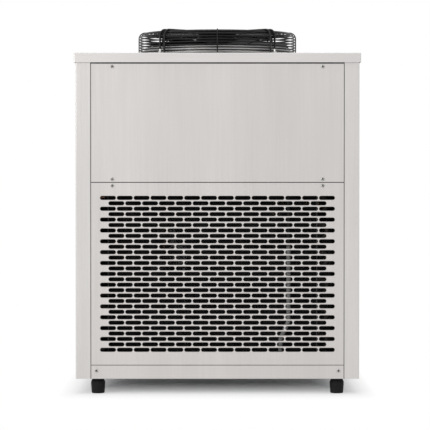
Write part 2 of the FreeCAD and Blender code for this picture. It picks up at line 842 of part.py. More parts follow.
# Wire basket: rings welded inside four thin ribs and four doubled struts, whose
# looped ends are the feet; a round plate in the middle carries the fan's motor
def basket_ring(radius, level, wire):
    """One ring of wire, drawn with eight flats so that it stays light."""
    corners = []
    for step in range(9):
        angle = math.pi * (step + 0.5) / 4
        corners.append(FreeCAD.Vector(radius + wire * math.cos(angle), 0, level + wire * math.sin(angle)))
    section = Part.Face(Part.makePolygon(corners))
    return section.revolve(FreeCAD.Vector(0, 0, 0), FreeCAD.Vector(0, 0, 1), 360)


def wire_along(edges, wire):
    """A wire with eight flats swept along joined edges."""
    spine = Part.Wire(edges)
    start = edges[0].valueAt(edges[0].FirstParameter)
    ahead = edges[0].tangentAt(edges[0].FirstParameter)
    turn = FreeCAD.Rotation(FreeCAD.Vector(0, 0, 1), ahead)
    corners = []
    for step in range(9):
        angle = math.pi * (step + 0.5) / 4
        corner = FreeCAD.Vector(wire * math.cos(angle), wire * math.sin(angle), 0)
        corners.append(start + turn.multVec(corner))
    return spine.makePipeShell([Part.makePolygon(corners)], True, False)


def basket_levels():
    """Radius and height of every ring, stepped along the basket's side, bend and top."""
    radius = value("basket_radius")
    bend = value("basket_bend")
    top = value("basket_height")
    pitch = value("ring_pitch")
    rings = []
    reach = value("first_ring_rise")
    side = top - bend
    while reach < side + bend * math.pi / 2:
        if reach < side:
            rings.append((radius, reach))
        else:
            angle = (reach - side) / bend
            rings.append((radius - bend + bend * math.cos(angle), side + bend * math.sin(angle)))
        reach += pitch
    across = radius - bend - value("top_ring_pitch") / 2
    while across > value("motor_plate_radius + plate_ring_gap"):
        rings.append((across, top))
        across -= value("top_ring_pitch")
    return rings


def over_basket(clear, inner, low):
    """The line of a wire that lies over the rings: in from the middle, over and down."""
    radius = value("basket_radius") - value("basket_bend")
    bend = value("basket_bend") + clear
    top = value("basket_height") - value("basket_bend")
    crown = FreeCAD.Vector(radius, 0, top + bend)
    side = FreeCAD.Vector(radius + bend, 0, top)
    half = math.sqrt(0.5) * bend
    shoulder = FreeCAD.Vector(radius + half, 0, top + half)
    return [
        Part.LineSegment(FreeCAD.Vector(inner, 0, top + bend), crown).toShape(),
        Part.Arc(crown, shoulder, side).toShape(),
        Part.LineSegment(side, FreeCAD.Vector(radius + bend, 0, low)).toShape(),
    ]


def strut_line(clear):
    """Half of a doubled strut: over the basket, down and outward into the eye."""
    half = value("strut_spacing") / 2
    foot_level = value("strut_wire") / 2
    bend = value("strut_bend")
    eye = math.hypot(value(EYE_X), value(EYE_Y))
    edges = over_basket(clear, value("strut_inner_radius"), foot_level + bend)
    outside = edges[2].Vertexes[1].Point.x
    inset = bend * (1 - math.sqrt(0.5))
    low = FreeCAD.Vector(outside, 0, foot_level + bend)
    middle = FreeCAD.Vector(outside + inset, 0, foot_level + inset)
    turned = FreeCAD.Vector(outside + bend, 0, foot_level)
    edges.append(Part.Arc(low, middle, turned).toShape())
    if eye > turned.x:
        edges.append(Part.LineSegment(turned, FreeCAD.Vector(eye, 0, foot_level)).toShape())
    near_side = [edge.translated(FreeCAD.Vector(0, -half, 0)) for edge in edges]
    start = FreeCAD.Vector(max(eye, turned.x), -half, foot_level)
    tip = start + FreeCAD.Vector(half, half, 0)
    end = start + FreeCAD.Vector(0, 2 * half, 0)
    loop = Part.Arc(start, tip, end).toShape()
    return near_side, loop


def make_basket():
    lid_top = value("cabinet_top")
    rings = []
    for radius, level in basket_levels():
        rings.append(basket_ring(radius, level, value("ring_wire") / 2))
    rib_clear = value("ring_wire / 2 - wire_weld + rib_wire / 2")
    strut_clear = value("ring_wire / 2 - wire_weld + strut_wire / 2")
    plate_top = value(RING_SURFACE)
    plate = Part.makeCylinder(value("motor_plate_radius"), value("motor_plate_sheet"),
                              FreeCAD.Vector(0, 0, plate_top - value("motor_plate_sheet")))
    for quarter in range(4):
        angle = math.pi / 2 * quarter
        hole_x = value("motor_screw_circle") * math.cos(angle)
        hole_y = value("motor_screw_circle") * math.sin(angle)
        hole = Part.makeCylinder(value(SCREW_HOLE), lid_top, FreeCAD.Vector(hole_x, hole_y, 0))
        plate = plate.cut(hole)
    ribs = []
    rib_start = value("motor_plate_radius - rib_overlap")
    rib_edges = over_basket(rib_clear, rib_start, value("rib_tail"))
    rib = wire_along(rib_edges, value("rib_wire") / 2)
    near_side, loop = strut_line(strut_clear)
    wire = value("strut_wire") / 2
    half_strut = wire_along(near_side, wire)
    eye = wire_along([loop], wire)
    other_half = half_strut.mirror(FreeCAD.Vector(0, 0, 0), FreeCAD.Vector(0, 1, 0))
    strut = half_strut.fuse([eye, other_half])
    centre = FreeCAD.Vector(0, 0, 0)
    upward = FreeCAD.Vector(0, 0, 1)
    for quarter in range(4):
        straight = rib.copy()
        straight.rotate(centre, upward, 90 * quarter)
        ribs.append(straight)
    for x, y in GUARD_EYES:
        slanted = strut.copy()
        slanted.rotate(centre, upward, math.degrees(math.atan2(value(y), value(x))))
        ribs.append(slanted)
    guard = plate.fuse(rings + ribs)
    basket = doc.addObject("Part::Feature", "fan_guard")
    basket.Label = "fan_guard"
    basket.Shape = guard.Solids[0] if len(guard.Solids) == 1 else guard
    place(basket, z="cabinet_top")
    return basket


# Studs and flanged nuts that hold the basket's eyes down on the lid
def make_guard_fixings():
    stud = new_body("guard_stud")
    sketch = new_sketch(stud, "XZ_Plane")
    outline(sketch, [
        ("0", "0 - panel_sheet - guard_stud_head"),
        ("guard_nut_radius", "0 - panel_sheet - guard_stud_head"),
        ("guard_nut_radius", "0 - panel_sheet"), ("guard_stud_radius", "0 - panel_sheet"),
        ("guard_stud_radius", "guard_stud_rise"), ("0", "guard_stud_rise"),
    ])
    revolve(stud, sketch)
    copies("guard_studs", stud, [(x, y, "cabinet_top", None, 0) for x, y in GUARD_EYES])
    nut = new_body("guard_nut")
    washer = new_sketch(nut, "XY_Plane", "strut_wire")
    circle(washer, "0", "0", "guard_washer_radius")
    circle(washer, "0", "0", "guard_stud_radius")
    pad(nut, washer, "guard_washer_sheet")
    flats = new_sketch(nut, "XY_Plane", "strut_wire + guard_washer_sheet")
    corners = []
    for step in range(6):
        angle = math.pi / 3 * step
        corners.append((f"(guard_nut_radius * {math.cos(angle):.6f})",
                        f"(guard_nut_radius * {math.sin(angle):.6f})"))
    outline(flats, corners)
    circle(flats, "0", "0", "guard_stud_radius")
    pad(nut, flats, "guard_nut_height")
    copies("guard_nuts", nut, [(x, y, "cabinet_top", None, 0) for x, y in GUARD_EYES])


# Fan motor: the flange and spindle hang from the basket's plate, and the rotor
# turns round them
def make_fan():
    plate_low = f"(cabinet_top + {RING_SURFACE} - motor_plate_sheet)"
    stator = new_body("fan_motor_stator")
    sketch = new_sketch(stator, "XZ_Plane")
    outline(sketch, [
        ("0", f"{plate_low}"), ("motor_radius", f"{plate_low}"),
        ("motor_radius", f"{plate_low} - motor_flange"),
        ("spindle_radius", f"{plate_low} - motor_flange"),
        ("spindle_radius", f"{ROTOR_TOP} - spindle_length"),
        ("0", f"{ROTOR_TOP} - spindle_length"),
    ])
    revolve(stator, sketch)
    holes = new_sketch(stator, "XY_Plane", plate_low)
    for x, y in MOTOR_SCREWS:
        circle(holes, x, y, "screw_radius")
    pocket(stator, holes, "motor_flange")
    rotor = new_body("fan_rotor")
    sketch = new_sketch(rotor, "XZ_Plane")
    bore = "(spindle_radius + spindle_play)"
    outline(sketch, [
        ("0", f"{ROTOR_TOP} - rotor_height"), ("rotor_radius", f"{ROTOR_TOP} - rotor_height"),
        ("rotor_radius", ROTOR_TOP), (bore, ROTOR_TOP),
        (bore, f"{ROTOR_TOP} - spindle_length - rotor_gap"),
        ("0", f"{ROTOR_TOP} - spindle_length - rotor_gap"),
    ])
    revolve(rotor, sketch)

    def rim(edge):
        return near(edge.BoundBox.XMax, "rotor_radius") and not upright(edge)

    round_edges(rotor, "rotor_round", rim)


# Impeller: five sickle blades lofted on a ring that is pressed over the rotor
def blade_section(body, radius, chord, pitch, sweep):
    """A thin curved section square to the blade, on a plane at one radius."""
    sketch = new_sketch(body, "YZ_Plane", radius)
    half = value(chord) / 2
    thick = value("blade_sheet") / 2
    camber = value("blade_camber")
    slope = math.radians(value(pitch))
    centre_z = value(f"{ROTOR_TOP} - hub_drop - hub_height / 2")
    along = FreeCAD.Vector(math.cos(slope), math.sin(slope), 0)
    across = FreeCAD.Vector(-math.sin(slope), math.cos(slope), 0)
    middle = FreeCAD.Vector(value(sweep), centre_z, 0)
    lower = []
    upper = []
    for share in (-1, 0, 1):
        bulge = camber * (1 - share * share)
        lower.append(middle + along * (share * half) + across * (bulge - thick))
        upper.append(middle + along * (share * half) + across * (bulge + thick))
    sketch.addGeometry(Part.Arc(*lower))
    sketch.addGeometry(Part.LineSegment(lower[2], upper[2]))
    sketch.addGeometry(Part.Arc(*upper))
    sketch.addGeometry(Part.LineSegment(upper[0], lower[0]))
    return sketch


def make_impeller():
    impeller = new_body("fan_impeller")
    ring = new_sketch(impeller, "XY_Plane", f"{ROTOR_TOP} - hub_drop - hub_height")
    circle(ring, "0", "0", "rotor_radius + hub_sheet")
    circle(ring, "0", "0", "rotor_radius")
    pad(impeller, ring, "hub_height")
    root = blade_section(impeller, "(rotor_radius - blade_overlap)", "blade_root_chord",
                         "blade_root_pitch", "0")
    middle = blade_section(impeller, "((rotor_radius + blade_tip_radius) / 2)", "blade_middle_chord",
                           "blade_middle_pitch", "blade_middle_sweep")
    tip = blade_section(impeller, "(blade_tip_radius + blade_overlap)", "blade_tip_chord",
                        "blade_tip_pitch", "blade_tip_sweep")
    blade = impeller.newObject("PartDesign::AdditiveLoft", "blade")
    blade.Profile = root
    blade.Sections = [middle, tip]
    blades = impeller.newObject("PartDesign::PolarPattern", "blades")
    blades.Originals = [blade]
    axis = [item for item in impeller.Origin.OriginFeatures if item.Role == "Z_Axis"][0]
    blades.Axis = (axis, [""])
    blades.Angle = 360
    bind(blades, "Occurrences", "blade_count")
    impeller.Tip = blades
    trim = new_sketch(impeller, "XY_Plane", f"{ROTOR_TOP} + 3 * hub_height")
    circle(trim, "0", "0", "blade_tip_radius")
    circle(trim, "0", "0", "2 * blade_tip_radius")
    pocket(impeller, trim, "8 * hub_height")
    core = new_sketch(impeller, "XY_Plane", f"{ROTOR_TOP} + 3 * hub_height")
    circle(core, "0", "0", "rotor_radius")
    pocket(impeller, core, "8 * hub_height")
    place(impeller, axis=(0, 0, 1), angle=value("blade_rest_turn"))


# Condenser: a finned block between two folded end plates, with one copper tube
# bent to and fro through it
CONDENSER_MIDDLE = "(condenser_depth / 2 - condenser_front)"
FIN_TOP = "(condenser_top - fin_inset)"
TUBE_LOW = f"({FIN_TOP} / 2 + fin_bottom / 2 - (tube_rows - 1) * tube_pitch / 2)"


def tube_holes(sketch):
    for row in range(round(value("tube_rows"))):
        circle(sketch, CONDENSER_MIDDLE, f"{TUBE_LOW} + {row} * tube_pitch", "tube_radius + tube_play")


def make_condenser():
    for name, side, edge in (("condenser_left_plate", -1, "condenser_left"),
                             ("condenser_right_plate", 1, "condenser_right")):
        plate = new_body(name)
        outer = f"({side} * {edge})"
        sketch = new_sketch(plate, "YZ_Plane", outer)
        rectangle(sketch, "0 - condenser_front", TRAY_FLOOR, "condenser_depth - condenser_front",
                  "condenser_top")
        tube_holes(sketch)
        pad(plate, sketch, "condenser_plate", back=side > 0)
        foot = new_sketch(plate, "XY_Plane", TRAY_FLOOR)
        near_x = f"({side} * ({edge} - condenser_plate))"
        far_x = f"({side} * ({edge} + condenser_lip))"
        rectangle(foot, near_x, "0 - condenser_front", far_x, "condenser_depth - condenser_front")
        pad(plate, foot, "condenser_plate")
    fins = new_body("condenser_fins")
    sketch = new_sketch(fins, "YZ_Plane", "condenser_plate - condenser_left")
    rectangle(sketch, "fin_inset - condenser_front", "fin_bottom",
              "condenser_depth - fin_inset - condenser_front", FIN_TOP)
    tube_holes(sketch)
    pad(fins, sketch, "condenser_left + condenser_right - 2 * condenser_plate")
    left = -value("condenser_left + tube_overhang")
    right = value("condenser_right + tube_overhang + tube_pitch / 2")
    y = value(CONDENSER_MIDDLE)
    rows = round(value("tube_rows"))
    points = []
    for row in range(rows):
        z = value(TUBE_LOW) + (rows - 1 - row) * value("tube_pitch")
        start = left if row == 0 else left - value("tube_pitch / 2")
        stop = left if row == rows - 1 else left - value("tube_pitch / 2")
        run = [(start, y, z), (right, y, z)]
        if row % 2:
            run = [(right, y, z), (stop, y, z)]
        points.extend(run)
    pipe("condenser_tubes", "tube_radius", value("tube_pitch / 2"), points)


# Compressor: a welded steel shell on a mounting plate, held on rubber grommets
SHELL_FLOOR = f"({TRAY_FLOOR} + grommet_height + mount_plate_sheet)"


def make_compressor():
    x = "(0 - compressor_across)"
    y = "compressor_along"
    shell = new_body("compressor")
    sketch = new_sketch(shell, "XY_Plane", SHELL_FLOOR)
    circle(sketch, x, y, "compressor_radius")
    pad(shell, sketch, "compressor_height")
    round_edges(shell, "compressor_dome", lambda edge: not upright(edge))
    plate = new_sketch(shell, "XY_Plane", f"{TRAY_FLOOR} + grommet_height")
    half_width = "mount_plate_width / 2"
    half_depth = "mount_plate_depth / 2"
    rectangle(plate, f"{x} - {half_width}", f"{y} - {half_depth}",
              f"{x} + {half_width}", f"{y} + {half_depth}")
    corners = []
    for side in (1, -1):
        for along in (1, -1):
            corner_x = f"({x} + {side} * (mount_plate_width / 2 - grommet_radius))"
            corner_y = f"({y} + {along} * (mount_plate_depth / 2 - grommet_radius))"
            corners.append((corner_x, corner_y))
            circle(plate, corner_x, corner_y, "mount_bolt_radius + hole_play")
    pad(shell, plate, "mount_plate_sheet")
    grommet = new_body("grommet")
    sketch = new_sketch(grommet, "XY_Plane")
    circle(sketch, "0", "0", "grommet_radius")
    circle(sketch, "0", "0", "mount_bolt_radius + hole_play")
    pad(grommet, sketch, "grommet_height")
    copies("compressor_grommets", grommet, [(cx, cy, TRAY_FLOOR, None, 0) for cx, cy in corners])
    bolt = new_body("mount_bolt")
    sketch = new_sketch(bolt, "XZ_Plane")
    outline(sketch, [
        ("0", "0"), ("mount_bolt_radius", "0"),
        ("mount_bolt_radius", "grommet_height + mount_plate_sheet"),
        ("mount_bolt_head_radius", "grommet_height + mount_plate_sheet"),
        ("mount_bolt_head_radius", "grommet_height + mount_plate_sheet + mount_bolt_head"),
        ("0", "grommet_height + mount_plate_sheet + mount_bolt_head"),
    ])
    revolve(bolt, sketch)
    compressor_bolts = copies("compressor_bolts", bolt,
                              [(cx, cy, TRAY_FLOOR, None, 0) for cx, cy in corners])
    bolts = doc.addObject("Part::Compound", "mounting_bolts")
    bolts.Label = "mounting_bolts"
    bolts.Links = [doc.getObject("foot_bolts"), compressor_bolts]
    cover = new_body("terminal_cover")
    sketch = new_sketch(cover, "XY_Plane", f"{SHELL_FLOOR} + terminal_rise")
    near_x = f"({x} + compressor_radius - terminal_sink)"
    far_x = f"({x} + compressor_radius + terminal_depth)"
    rectangle(sketch, near_x, f"{y} - terminal_width / 2", far_x, f"{y} + terminal_width / 2")
    pad(cover, sketch, "terminal_height")
    shell_room = new_sketch(cover, "XY_Plane", f"{SHELL_FLOOR} + compressor_dome")
    circle(shell_room, x, y, "compressor_radius")
    pocket(cover, shell_room, "compressor_height", back=True)


# Water tank: a folded and welded steel box with spouts, closed by a flat lid
TANK_RIGHT = "(tank_left + tank_width)"
TANK_BACK = "(tank_depth - tank_front)"
TANK_TOP = f"({TRAY_FLOOR} + tank_height)"
PUMP_AXIS = f"({TRAY_FLOOR} + pump_axis_height)"
PORT_TWO = "(port_across + port_spacing)"


def make_tank():
    tank = new_body("water_tank")
    sketch = new_sketch(tank, "XY_Plane", TRAY_FLOOR)
    rectangle(sketch, "tank_left", "0 - tank_front", TANK_RIGHT, TANK_BACK)
    pad(tank, sketch, "tank_height")
    round_edges(tank, "tank_corner", upright)
    spouts = new_sketch(tank, "XZ_Plane", minus(f"({TANK_BACK} - tank_sheet)"))
    circle(spouts, PORT_TWO, "tank_return_level", "tank_spout_radius")
    circle(spouts, PORT_TWO, "drain_height", "tank_spout_radius")
    pad(tank, spouts, "tank_spout_length + tank_sheet", back=True)
    outlet = new_sketch(tank, "YZ_Plane", "tank_left + tank_sheet")
    circle(outlet, "0", PUMP_AXIS, "tank_spout_radius")
    pad(tank, outlet, "tank_spout_length + tank_sheet", back=True)
    hollow = new_sketch(tank, "XY_Plane", TANK_TOP)
    rectangle(hollow, "tank_left + tank_sheet", "tank_sheet - tank_front",
              f"{TANK_RIGHT} - tank_sheet", f"{TANK_BACK} - tank_sheet")
    pocket(tank, hollow, "tank_height - tank_sheet")
    lid = new_body("tank_lid")
    sketch = new_sketch(lid, "XY_Plane", TANK_TOP)
    rectangle(sketch, "tank_left - tank_lid_rim", "0 - tank_front - tank_lid_rim",
              f"{TANK_RIGHT} + tank_lid_rim", f"{TANK_BACK} + tank_lid_rim")
    pad(lid, sketch, "tank_lid_sheet")


# Pump: a volute bolted to the end of its motor, which stands on a cast foot
def make_pump():
    volute = new_body("pump_volute")
    sketch = new_sketch(volute, "YZ_Plane", "pump_across")
    circle(sketch, "pump_along", PUMP_AXIS, "pump_radius")
    pad(volute, sketch, "pump_length")
    round_edges(volute, "pump_corner", lambda edge: near(edge.CenterOfMass.x, "pump_across"))
    inlet = new_sketch(volute, "YZ_Plane", "pump_across")
    circle(inlet, "pump_along", PUMP_AXIS, "tank_spout_radius")
    pad(volute, inlet, "pump_neck", back=True)
    outlet = new_sketch(volute, "XY_Plane", PUMP_AXIS)
    circle(outlet, "pump_across + pump_length / 2", "pump_along", "tank_spout_radius")
    pad(volute, outlet, "pump_radius + pump_neck")
    motor = new_body("pump_motor")
    sketch = new_sketch(motor, "YZ_Plane", "pump_across + pump_length")
    circle(sketch, "pump_along", PUMP_AXIS, "pump_motor_radius")
    pad(motor, sketch, "pump_motor_length")
    foot = new_sketch(motor, "XY_Plane", TRAY_FLOOR)
    middle = "(pump_across + pump_length + pump_motor_length / 2)"
    rectangle(foot, f"{middle} - pump_foot_width / 2", "pump_along - pump_foot_depth / 2",
              f"{middle} + pump_foot_width / 2", "pump_along + pump_foot_depth / 2")
    pad(motor, foot, "pump_axis_height")


# Plate heat exchanger: one brazed block of pressed plates on a folded stand
EXCHANGER_FLOOR = f"({TRAY_FLOOR} + exchanger_rise)"
EXCHANGER_RIGHT = "(exchanger_width - exchanger_left)"
REFRIGERANT_X = "(exchanger_port_inset - exchanger_left)"
WATER_X = f"({EXCHANGER_RIGHT} - exchanger_port_inset)"
PORT_LOW = f"({EXCHANGER_FLOOR} + exchanger_port_low)"
PORT_HIGH = f"({EXCHANGER_FLOOR} + exchanger_port_high)"


def make_exchanger():
    block = new_body("plate_exchanger")
    sketch = new_sketch(block, "XZ_Plane", minus("(exchanger_along + exchanger_depth)"))
    rectangle(sketch, minus("exchanger_left"), EXCHANGER_FLOOR, EXCHANGER_RIGHT,
              f"{EXCHANGER_FLOOR} + exchanger_height")
    pad(block, sketch, "exchanger_depth")
    round_edges(block, "exchanger_corner", lambda edge: near(edge.BoundBox.YLength, "exchanger_depth"))
    stand = new_body("exchanger_stand")
    sketch = new_sketch(stand, "YZ_Plane", minus("exchanger_left"))
    near_y = "exchanger_along"
    far_y = "(exchanger_along + exchanger_depth)"
    outline(sketch, [
        (near_y, TRAY_FLOOR), (f"{near_y} + bracket_sheet", TRAY_FLOOR),
        (f"{near_y} + bracket_sheet", f"{EXCHANGER_FLOOR} - bracket_sheet"),
        (f"{far_y} - bracket_sheet", f"{EXCHANGER_FLOOR} - bracket_sheet"),
        (f"{far_y} - bracket_sheet", TRAY_FLOOR), (far_y, TRAY_FLOOR),
        (far_y, EXCHANGER_FLOOR), (near_y, EXCHANGER_FLOOR),
    ])
    pad(stand, sketch, "exchanger_width")


# Refrigerant pipes and water hoses, each run between the ports that it joins
def make_pipes():
    high = value("high_pipe_level")
    low = value("low_pipe_level")
    bend = value("pipe_bend")
    tube_y = value(CONDENSER_MIDDLE)
    tube_left = -value("condenser_left + tube_overhang")
    tube_low = value(TUBE_LOW)
    tube_high = tube_low + value("(tube_rows - 1) * tube_pitch")
    side_x = -value("body_width / 2 - side_pipe_inset")
    shell_top = value(f"{SHELL_FLOOR} + compressor_height")
    shell_x = -value("compressor_across")
    shell_y = value("compressor_along")
    hot_x = shell_x - value("discharge_shift")
    cross_y = value("condenser_depth - condenser_front + discharge_gap")
    pipe("discharge_line", "hot_pipe_radius", bend, [
        (hot_x, shell_y, shell_top), (hot_x, shell_y, high), (hot_x, cross_y, high),
        (side_x, cross_y, high), (side_x, tube_y, high), (side_x, tube_y, tube_high),
        (tube_left, tube_y, tube_high),
    ])
    riser_y = -value("riser_along")
    riser_x = value("riser_across")
    foot_x = value("riser_foot_across")
    drier_y = -value("tank_front")
    bend_low = low + value("riser_bend_low")
    bend_high = low + value("riser_bend_high")
    riser = pipe("riser_line", "tube_radius", bend, [
        (tube_left, tube_y, tube_low), (side_x, tube_y, tube_low), (side_x, riser_y, tube_low),
        (side_x, riser_y, low), (foot_x, riser_y, low), (foot_x, riser_y, bend_low),
        (riser_x, riser_y, bend_high), (riser_x, riser_y, high), (riser_x, drier_y, high),
    ])
    drier = new_body("filter_drier")
    sketch = new_sketch(drier, "XZ_Plane", minus("(0 - tank_front)"))
    circle(sketch, "riser_across", "high_pipe_level", "drier_radius")
    pad(drier, sketch, "drier_length", back=True)
    round_edges(drier, "drier_round", lambda edge: near(edge.BoundBox.YLength, "0"))
    feed_y = value("exchanger_along - feed_gap")
    gas_x = value(REFRIGERANT_X)
    water_x = value(WATER_X)
    port_low = value(PORT_LOW)
    port_high = value(PORT_HIGH)
    valve_top = port_high + value("valve_rise")
    drier_end = drier_y + value("drier_length")
    after_drier = pipe("drier_line", "hot_pipe_radius", bend, [
        (riser_x, drier_end, high), (riser_x, feed_y, high), (gas_x, feed_y, high),
        (gas_x, feed_y, valve_top),
    ])
    valve = new_body("expansion_valve")
    sketch = new_sketch(valve, "XY_Plane", f"{PORT_HIGH} + valve_rise")
    circle(sketch, REFRIGERANT_X, "exchanger_along - feed_gap", "valve_radius")
    pad(valve, sketch, "valve_height", back=True)
    round_edges(valve, "bend_radius", lambda edge: not upright(edge))
    feed = pipe("feed_line", "hot_pipe_radius", bend, [
        (gas_x, feed_y, valve_top - value("valve_height")), (gas_x, feed_y, port_low),
        (gas_x, value("exchanger_along"), port_low),
    ])
    liquid = doc.addObject("Part::Compound", "liquid_line")
    liquid.Label = "liquid_line"
    liquid.Links = [riser, after_drier, feed]
    suction_x = shell_x - value("suction_shift")
    near_y = feed_y + value("suction_gap")
    far_y = shell_y + value("suction_gap")
    pipe("suction_line", "suction_pipe_radius", value("suction_bend"), [
        (gas_x, value("exchanger_along"), port_high), (gas_x, near_y, port_high),
        (suction_x, near_y, port_high), (suction_x, far_y, port_high),
        (suction_x, far_y, shell_top),
    ])
    turn = value("hose_bend")
    axis = value(PUMP_AXIS)
    pump_x = value("pump_across - pump_neck")
    knee_x = value("pump_hose_across")
    pump_y = value("pump_along")
    inner_port = value("body_depth / 2 - port_body_length")
    hose_x = value("tank_left") - value("tank_spout_length")
    pipe("pump_suction_hose", "hose_radius", turn, [
        (hose_x, 0, axis), (knee_x, 0, axis), (knee_x, pump_y, axis), (pump_x, pump_y, axis),
    ])
    outlet_x = value("pump_across + pump_length / 2")
    outlet_z = axis + value("pump_radius + pump_neck")
    over_z = outlet_z + value("delivery_rise")
    step_y = pump_y - value("delivery_step")
    supply_y = pump_y - value("supply_step")
    pipe("pump_delivery_hose", "hose_radius", turn, [
        (outlet_x, pump_y, outlet_z), (outlet_x, pump_y, over_z),
        (water_x, pump_y, over_z), (water_x, step_y, port_low),
        (water_x, value("exchanger_along"), port_low),
    ])
    supply_x = value("port_across")
    port_z = value("port_height")
    pipe("supply_hose", "hose_radius", turn, [
        (water_x, value("exchanger_along"), port_high), (water_x, supply_y, port_high),
        (water_x, supply_y, port_z), (supply_x, supply_y, port_z), (supply_x, inner_port, port_z),
    ])
    back_x = value(PORT_TWO)
    spout_y = value(TANK_BACK) + value("tank_spout_length")
    pipe("return_hose", "hose_radius", turn, [
        (back_x, inner_port, port_z), (back_x, pump_y, port_z),
        (back_x, pump_y, value("tank_return_level")), (back_x, spout_y, value("tank_return_level")),
    ])
    pipe("drain_hose", "hose_radius", turn, [
        (back_x, inner_port, value("drain_height")), (back_x, spout_y, value("drain_height")),
    ])


# Water connections: turned brass bulkhead sockets, each clamped to the back
# panel by a hexagon nut inside
def make_ports():
    deep = "(port_flange - port_thread_length)"
    places = [("outlet", "port_across", "port_height"), ("inlet", PORT_TWO, "port_height"),
              ("drain", PORT_TWO, "drain_height")]
    for name, x, z in places:
        port = new_body(f"water_{name}_port")
        sketch = new_sketch(port, "XZ_Plane")
        outline(sketch, [
            ("port_waist", "0 - port_body_length"), ("port_body_radius", "0 - port_body_length"),
            ("port_body_radius", "0"), ("port_flange_radius", "0"),
            ("port_flange_radius", "port_flange"), ("port_bore", "port_flange"),
            ("port_bore", deep), ("port_waist", deep),
        ])
        revolve(port, sketch)
        place(port, x, BACK, z, *SCREWS_OUT["back"])
    nut = new_body("port_nut")
    flats = new_sketch(nut, "XY_Plane", "0 - panel_sheet")
    corners = []
    for step in range(6):
        angle = math.pi / 3 * step
        corners.append((f"(port_nut_radius * {math.cos(angle):.6f})",
                        f"(port_nut_radius * {math.sin(angle):.6f})"))
    outline(flats, corners)
    circle(flats, "0", "0", "port_body_radius")
    pad(nut, flats, "port_nut_height", back=True)
    copies("port_nuts", nut, [(x, BACK, z, *SCREWS_OUT["back"]) for _, x, z in places])
    bush = new_body("cable_bush")
    sketch = new_sketch(bush, "XZ_Plane")
    outline(sketch, [
        ("cable_bore", "0 - cable_bush_length"), ("cable_bush_radius", "0 - cable_bush_length"),
        ("cable_bush_radius", "0"), ("cable_flange_radius", "0"),
        ("cable_flange_radius", "port_flange"), ("cable_bore", "port_flange"),
    ])
    revolve(bush, sketch)
    place(bush, "(0 - cable_across)", BACK, "cable_height", *SCREWS_OUT["back"])


# Temperature controller: a moulded case clipped into the back panel, with a
# dark window and four keys that press in
KEY_PLACES = {
    "key_upper_left": (1, 1), "key_upper_right": (-1, 1),
    "key_lower_left": (1, -1), "key_lower_right": (-1, -1),
}


def key_middle(side, row):
    x = f"(control_across - key_shift + {side} * key_spacing / 2)"
    z = f"(control_height + {row} * key_row)"
    return x, z


def make_controller():
    case = new_body("controller_case")
    sketch = new_sketch(case, "XZ_Plane", minus(BACK))
    half_wide = "control_width / 2"
    half_tall = "control_tall / 2"
    rectangle(sketch, f"control_across - {half_wide}", f"control_height - {half_tall}",
              f"control_across + {half_wide}", f"control_height + {half_tall}")
    pad(case, sketch, "control_bezel", back=True)
    inner = new_sketch(case, "XZ_Plane", minus(BACK))
    rectangle(inner, "control_across - control_body_width / 2", "control_height - control_body_tall / 2",
              "control_across + control_body_width / 2", "control_height + control_body_tall / 2")
    pad(case, inner, "control_body_depth")
    window_room = new_sketch(case, "XZ_Plane", minus(f"({BACK} + control_bezel)"))
    window_x = "(control_across + window_shift)"
    rectangle(window_room, f"{window_x} - window_width / 2", "control_height - window_tall / 2",
              f"{window_x} + window_width / 2", "control_height + window_tall / 2")
    pocket(case, window_room, "window_sheet", back=True)
    key_rooms = new_sketch(case, "XZ_Plane", minus(f"({BACK} + control_bezel)"))
    for side, row in KEY_PLACES.values():
        x, z = key_middle(side, row)
        rectangle(key_rooms, f"{x} - key_width / 2 - key_play", f"{z} - key_tall / 2 - key_play",
                  f"{x} + key_width / 2 + key_play", f"{z} + key_tall / 2 + key_play")
    pocket(case, key_rooms, "key_length + key_play", back=True)
    window = new_body("controller_window")
    sketch = new_sketch(window, "XZ_Plane", minus(f"({BACK} + control_bezel - window_sheet)"))
    half_window = "((window_width - key_play) / 2)"
    half_high = "((window_tall - key_play) / 2)"
    rectangle(sketch, f"{window_x} - {half_window}", f"control_height - {half_high}",
              f"{window_x} + {half_window}", f"control_height + {half_high}")
    pad(window, sketch, "window_sheet", back=True)
    for name, (side, row) in KEY_PLACES.items():
        key = new_body(name)
        x, z = key_middle(side, row)
        sketch = new_sketch(key, "XZ_Plane", minus(f"({BACK} + control_bezel + key_travel)"))
        rectangle(sketch, f"{x} - key_width / 2", f"{z} - key_tall / 2",
                  f"{x} + key_width / 2", f"{z} + key_tall / 2")
        pad(key, sketch, "key_length")


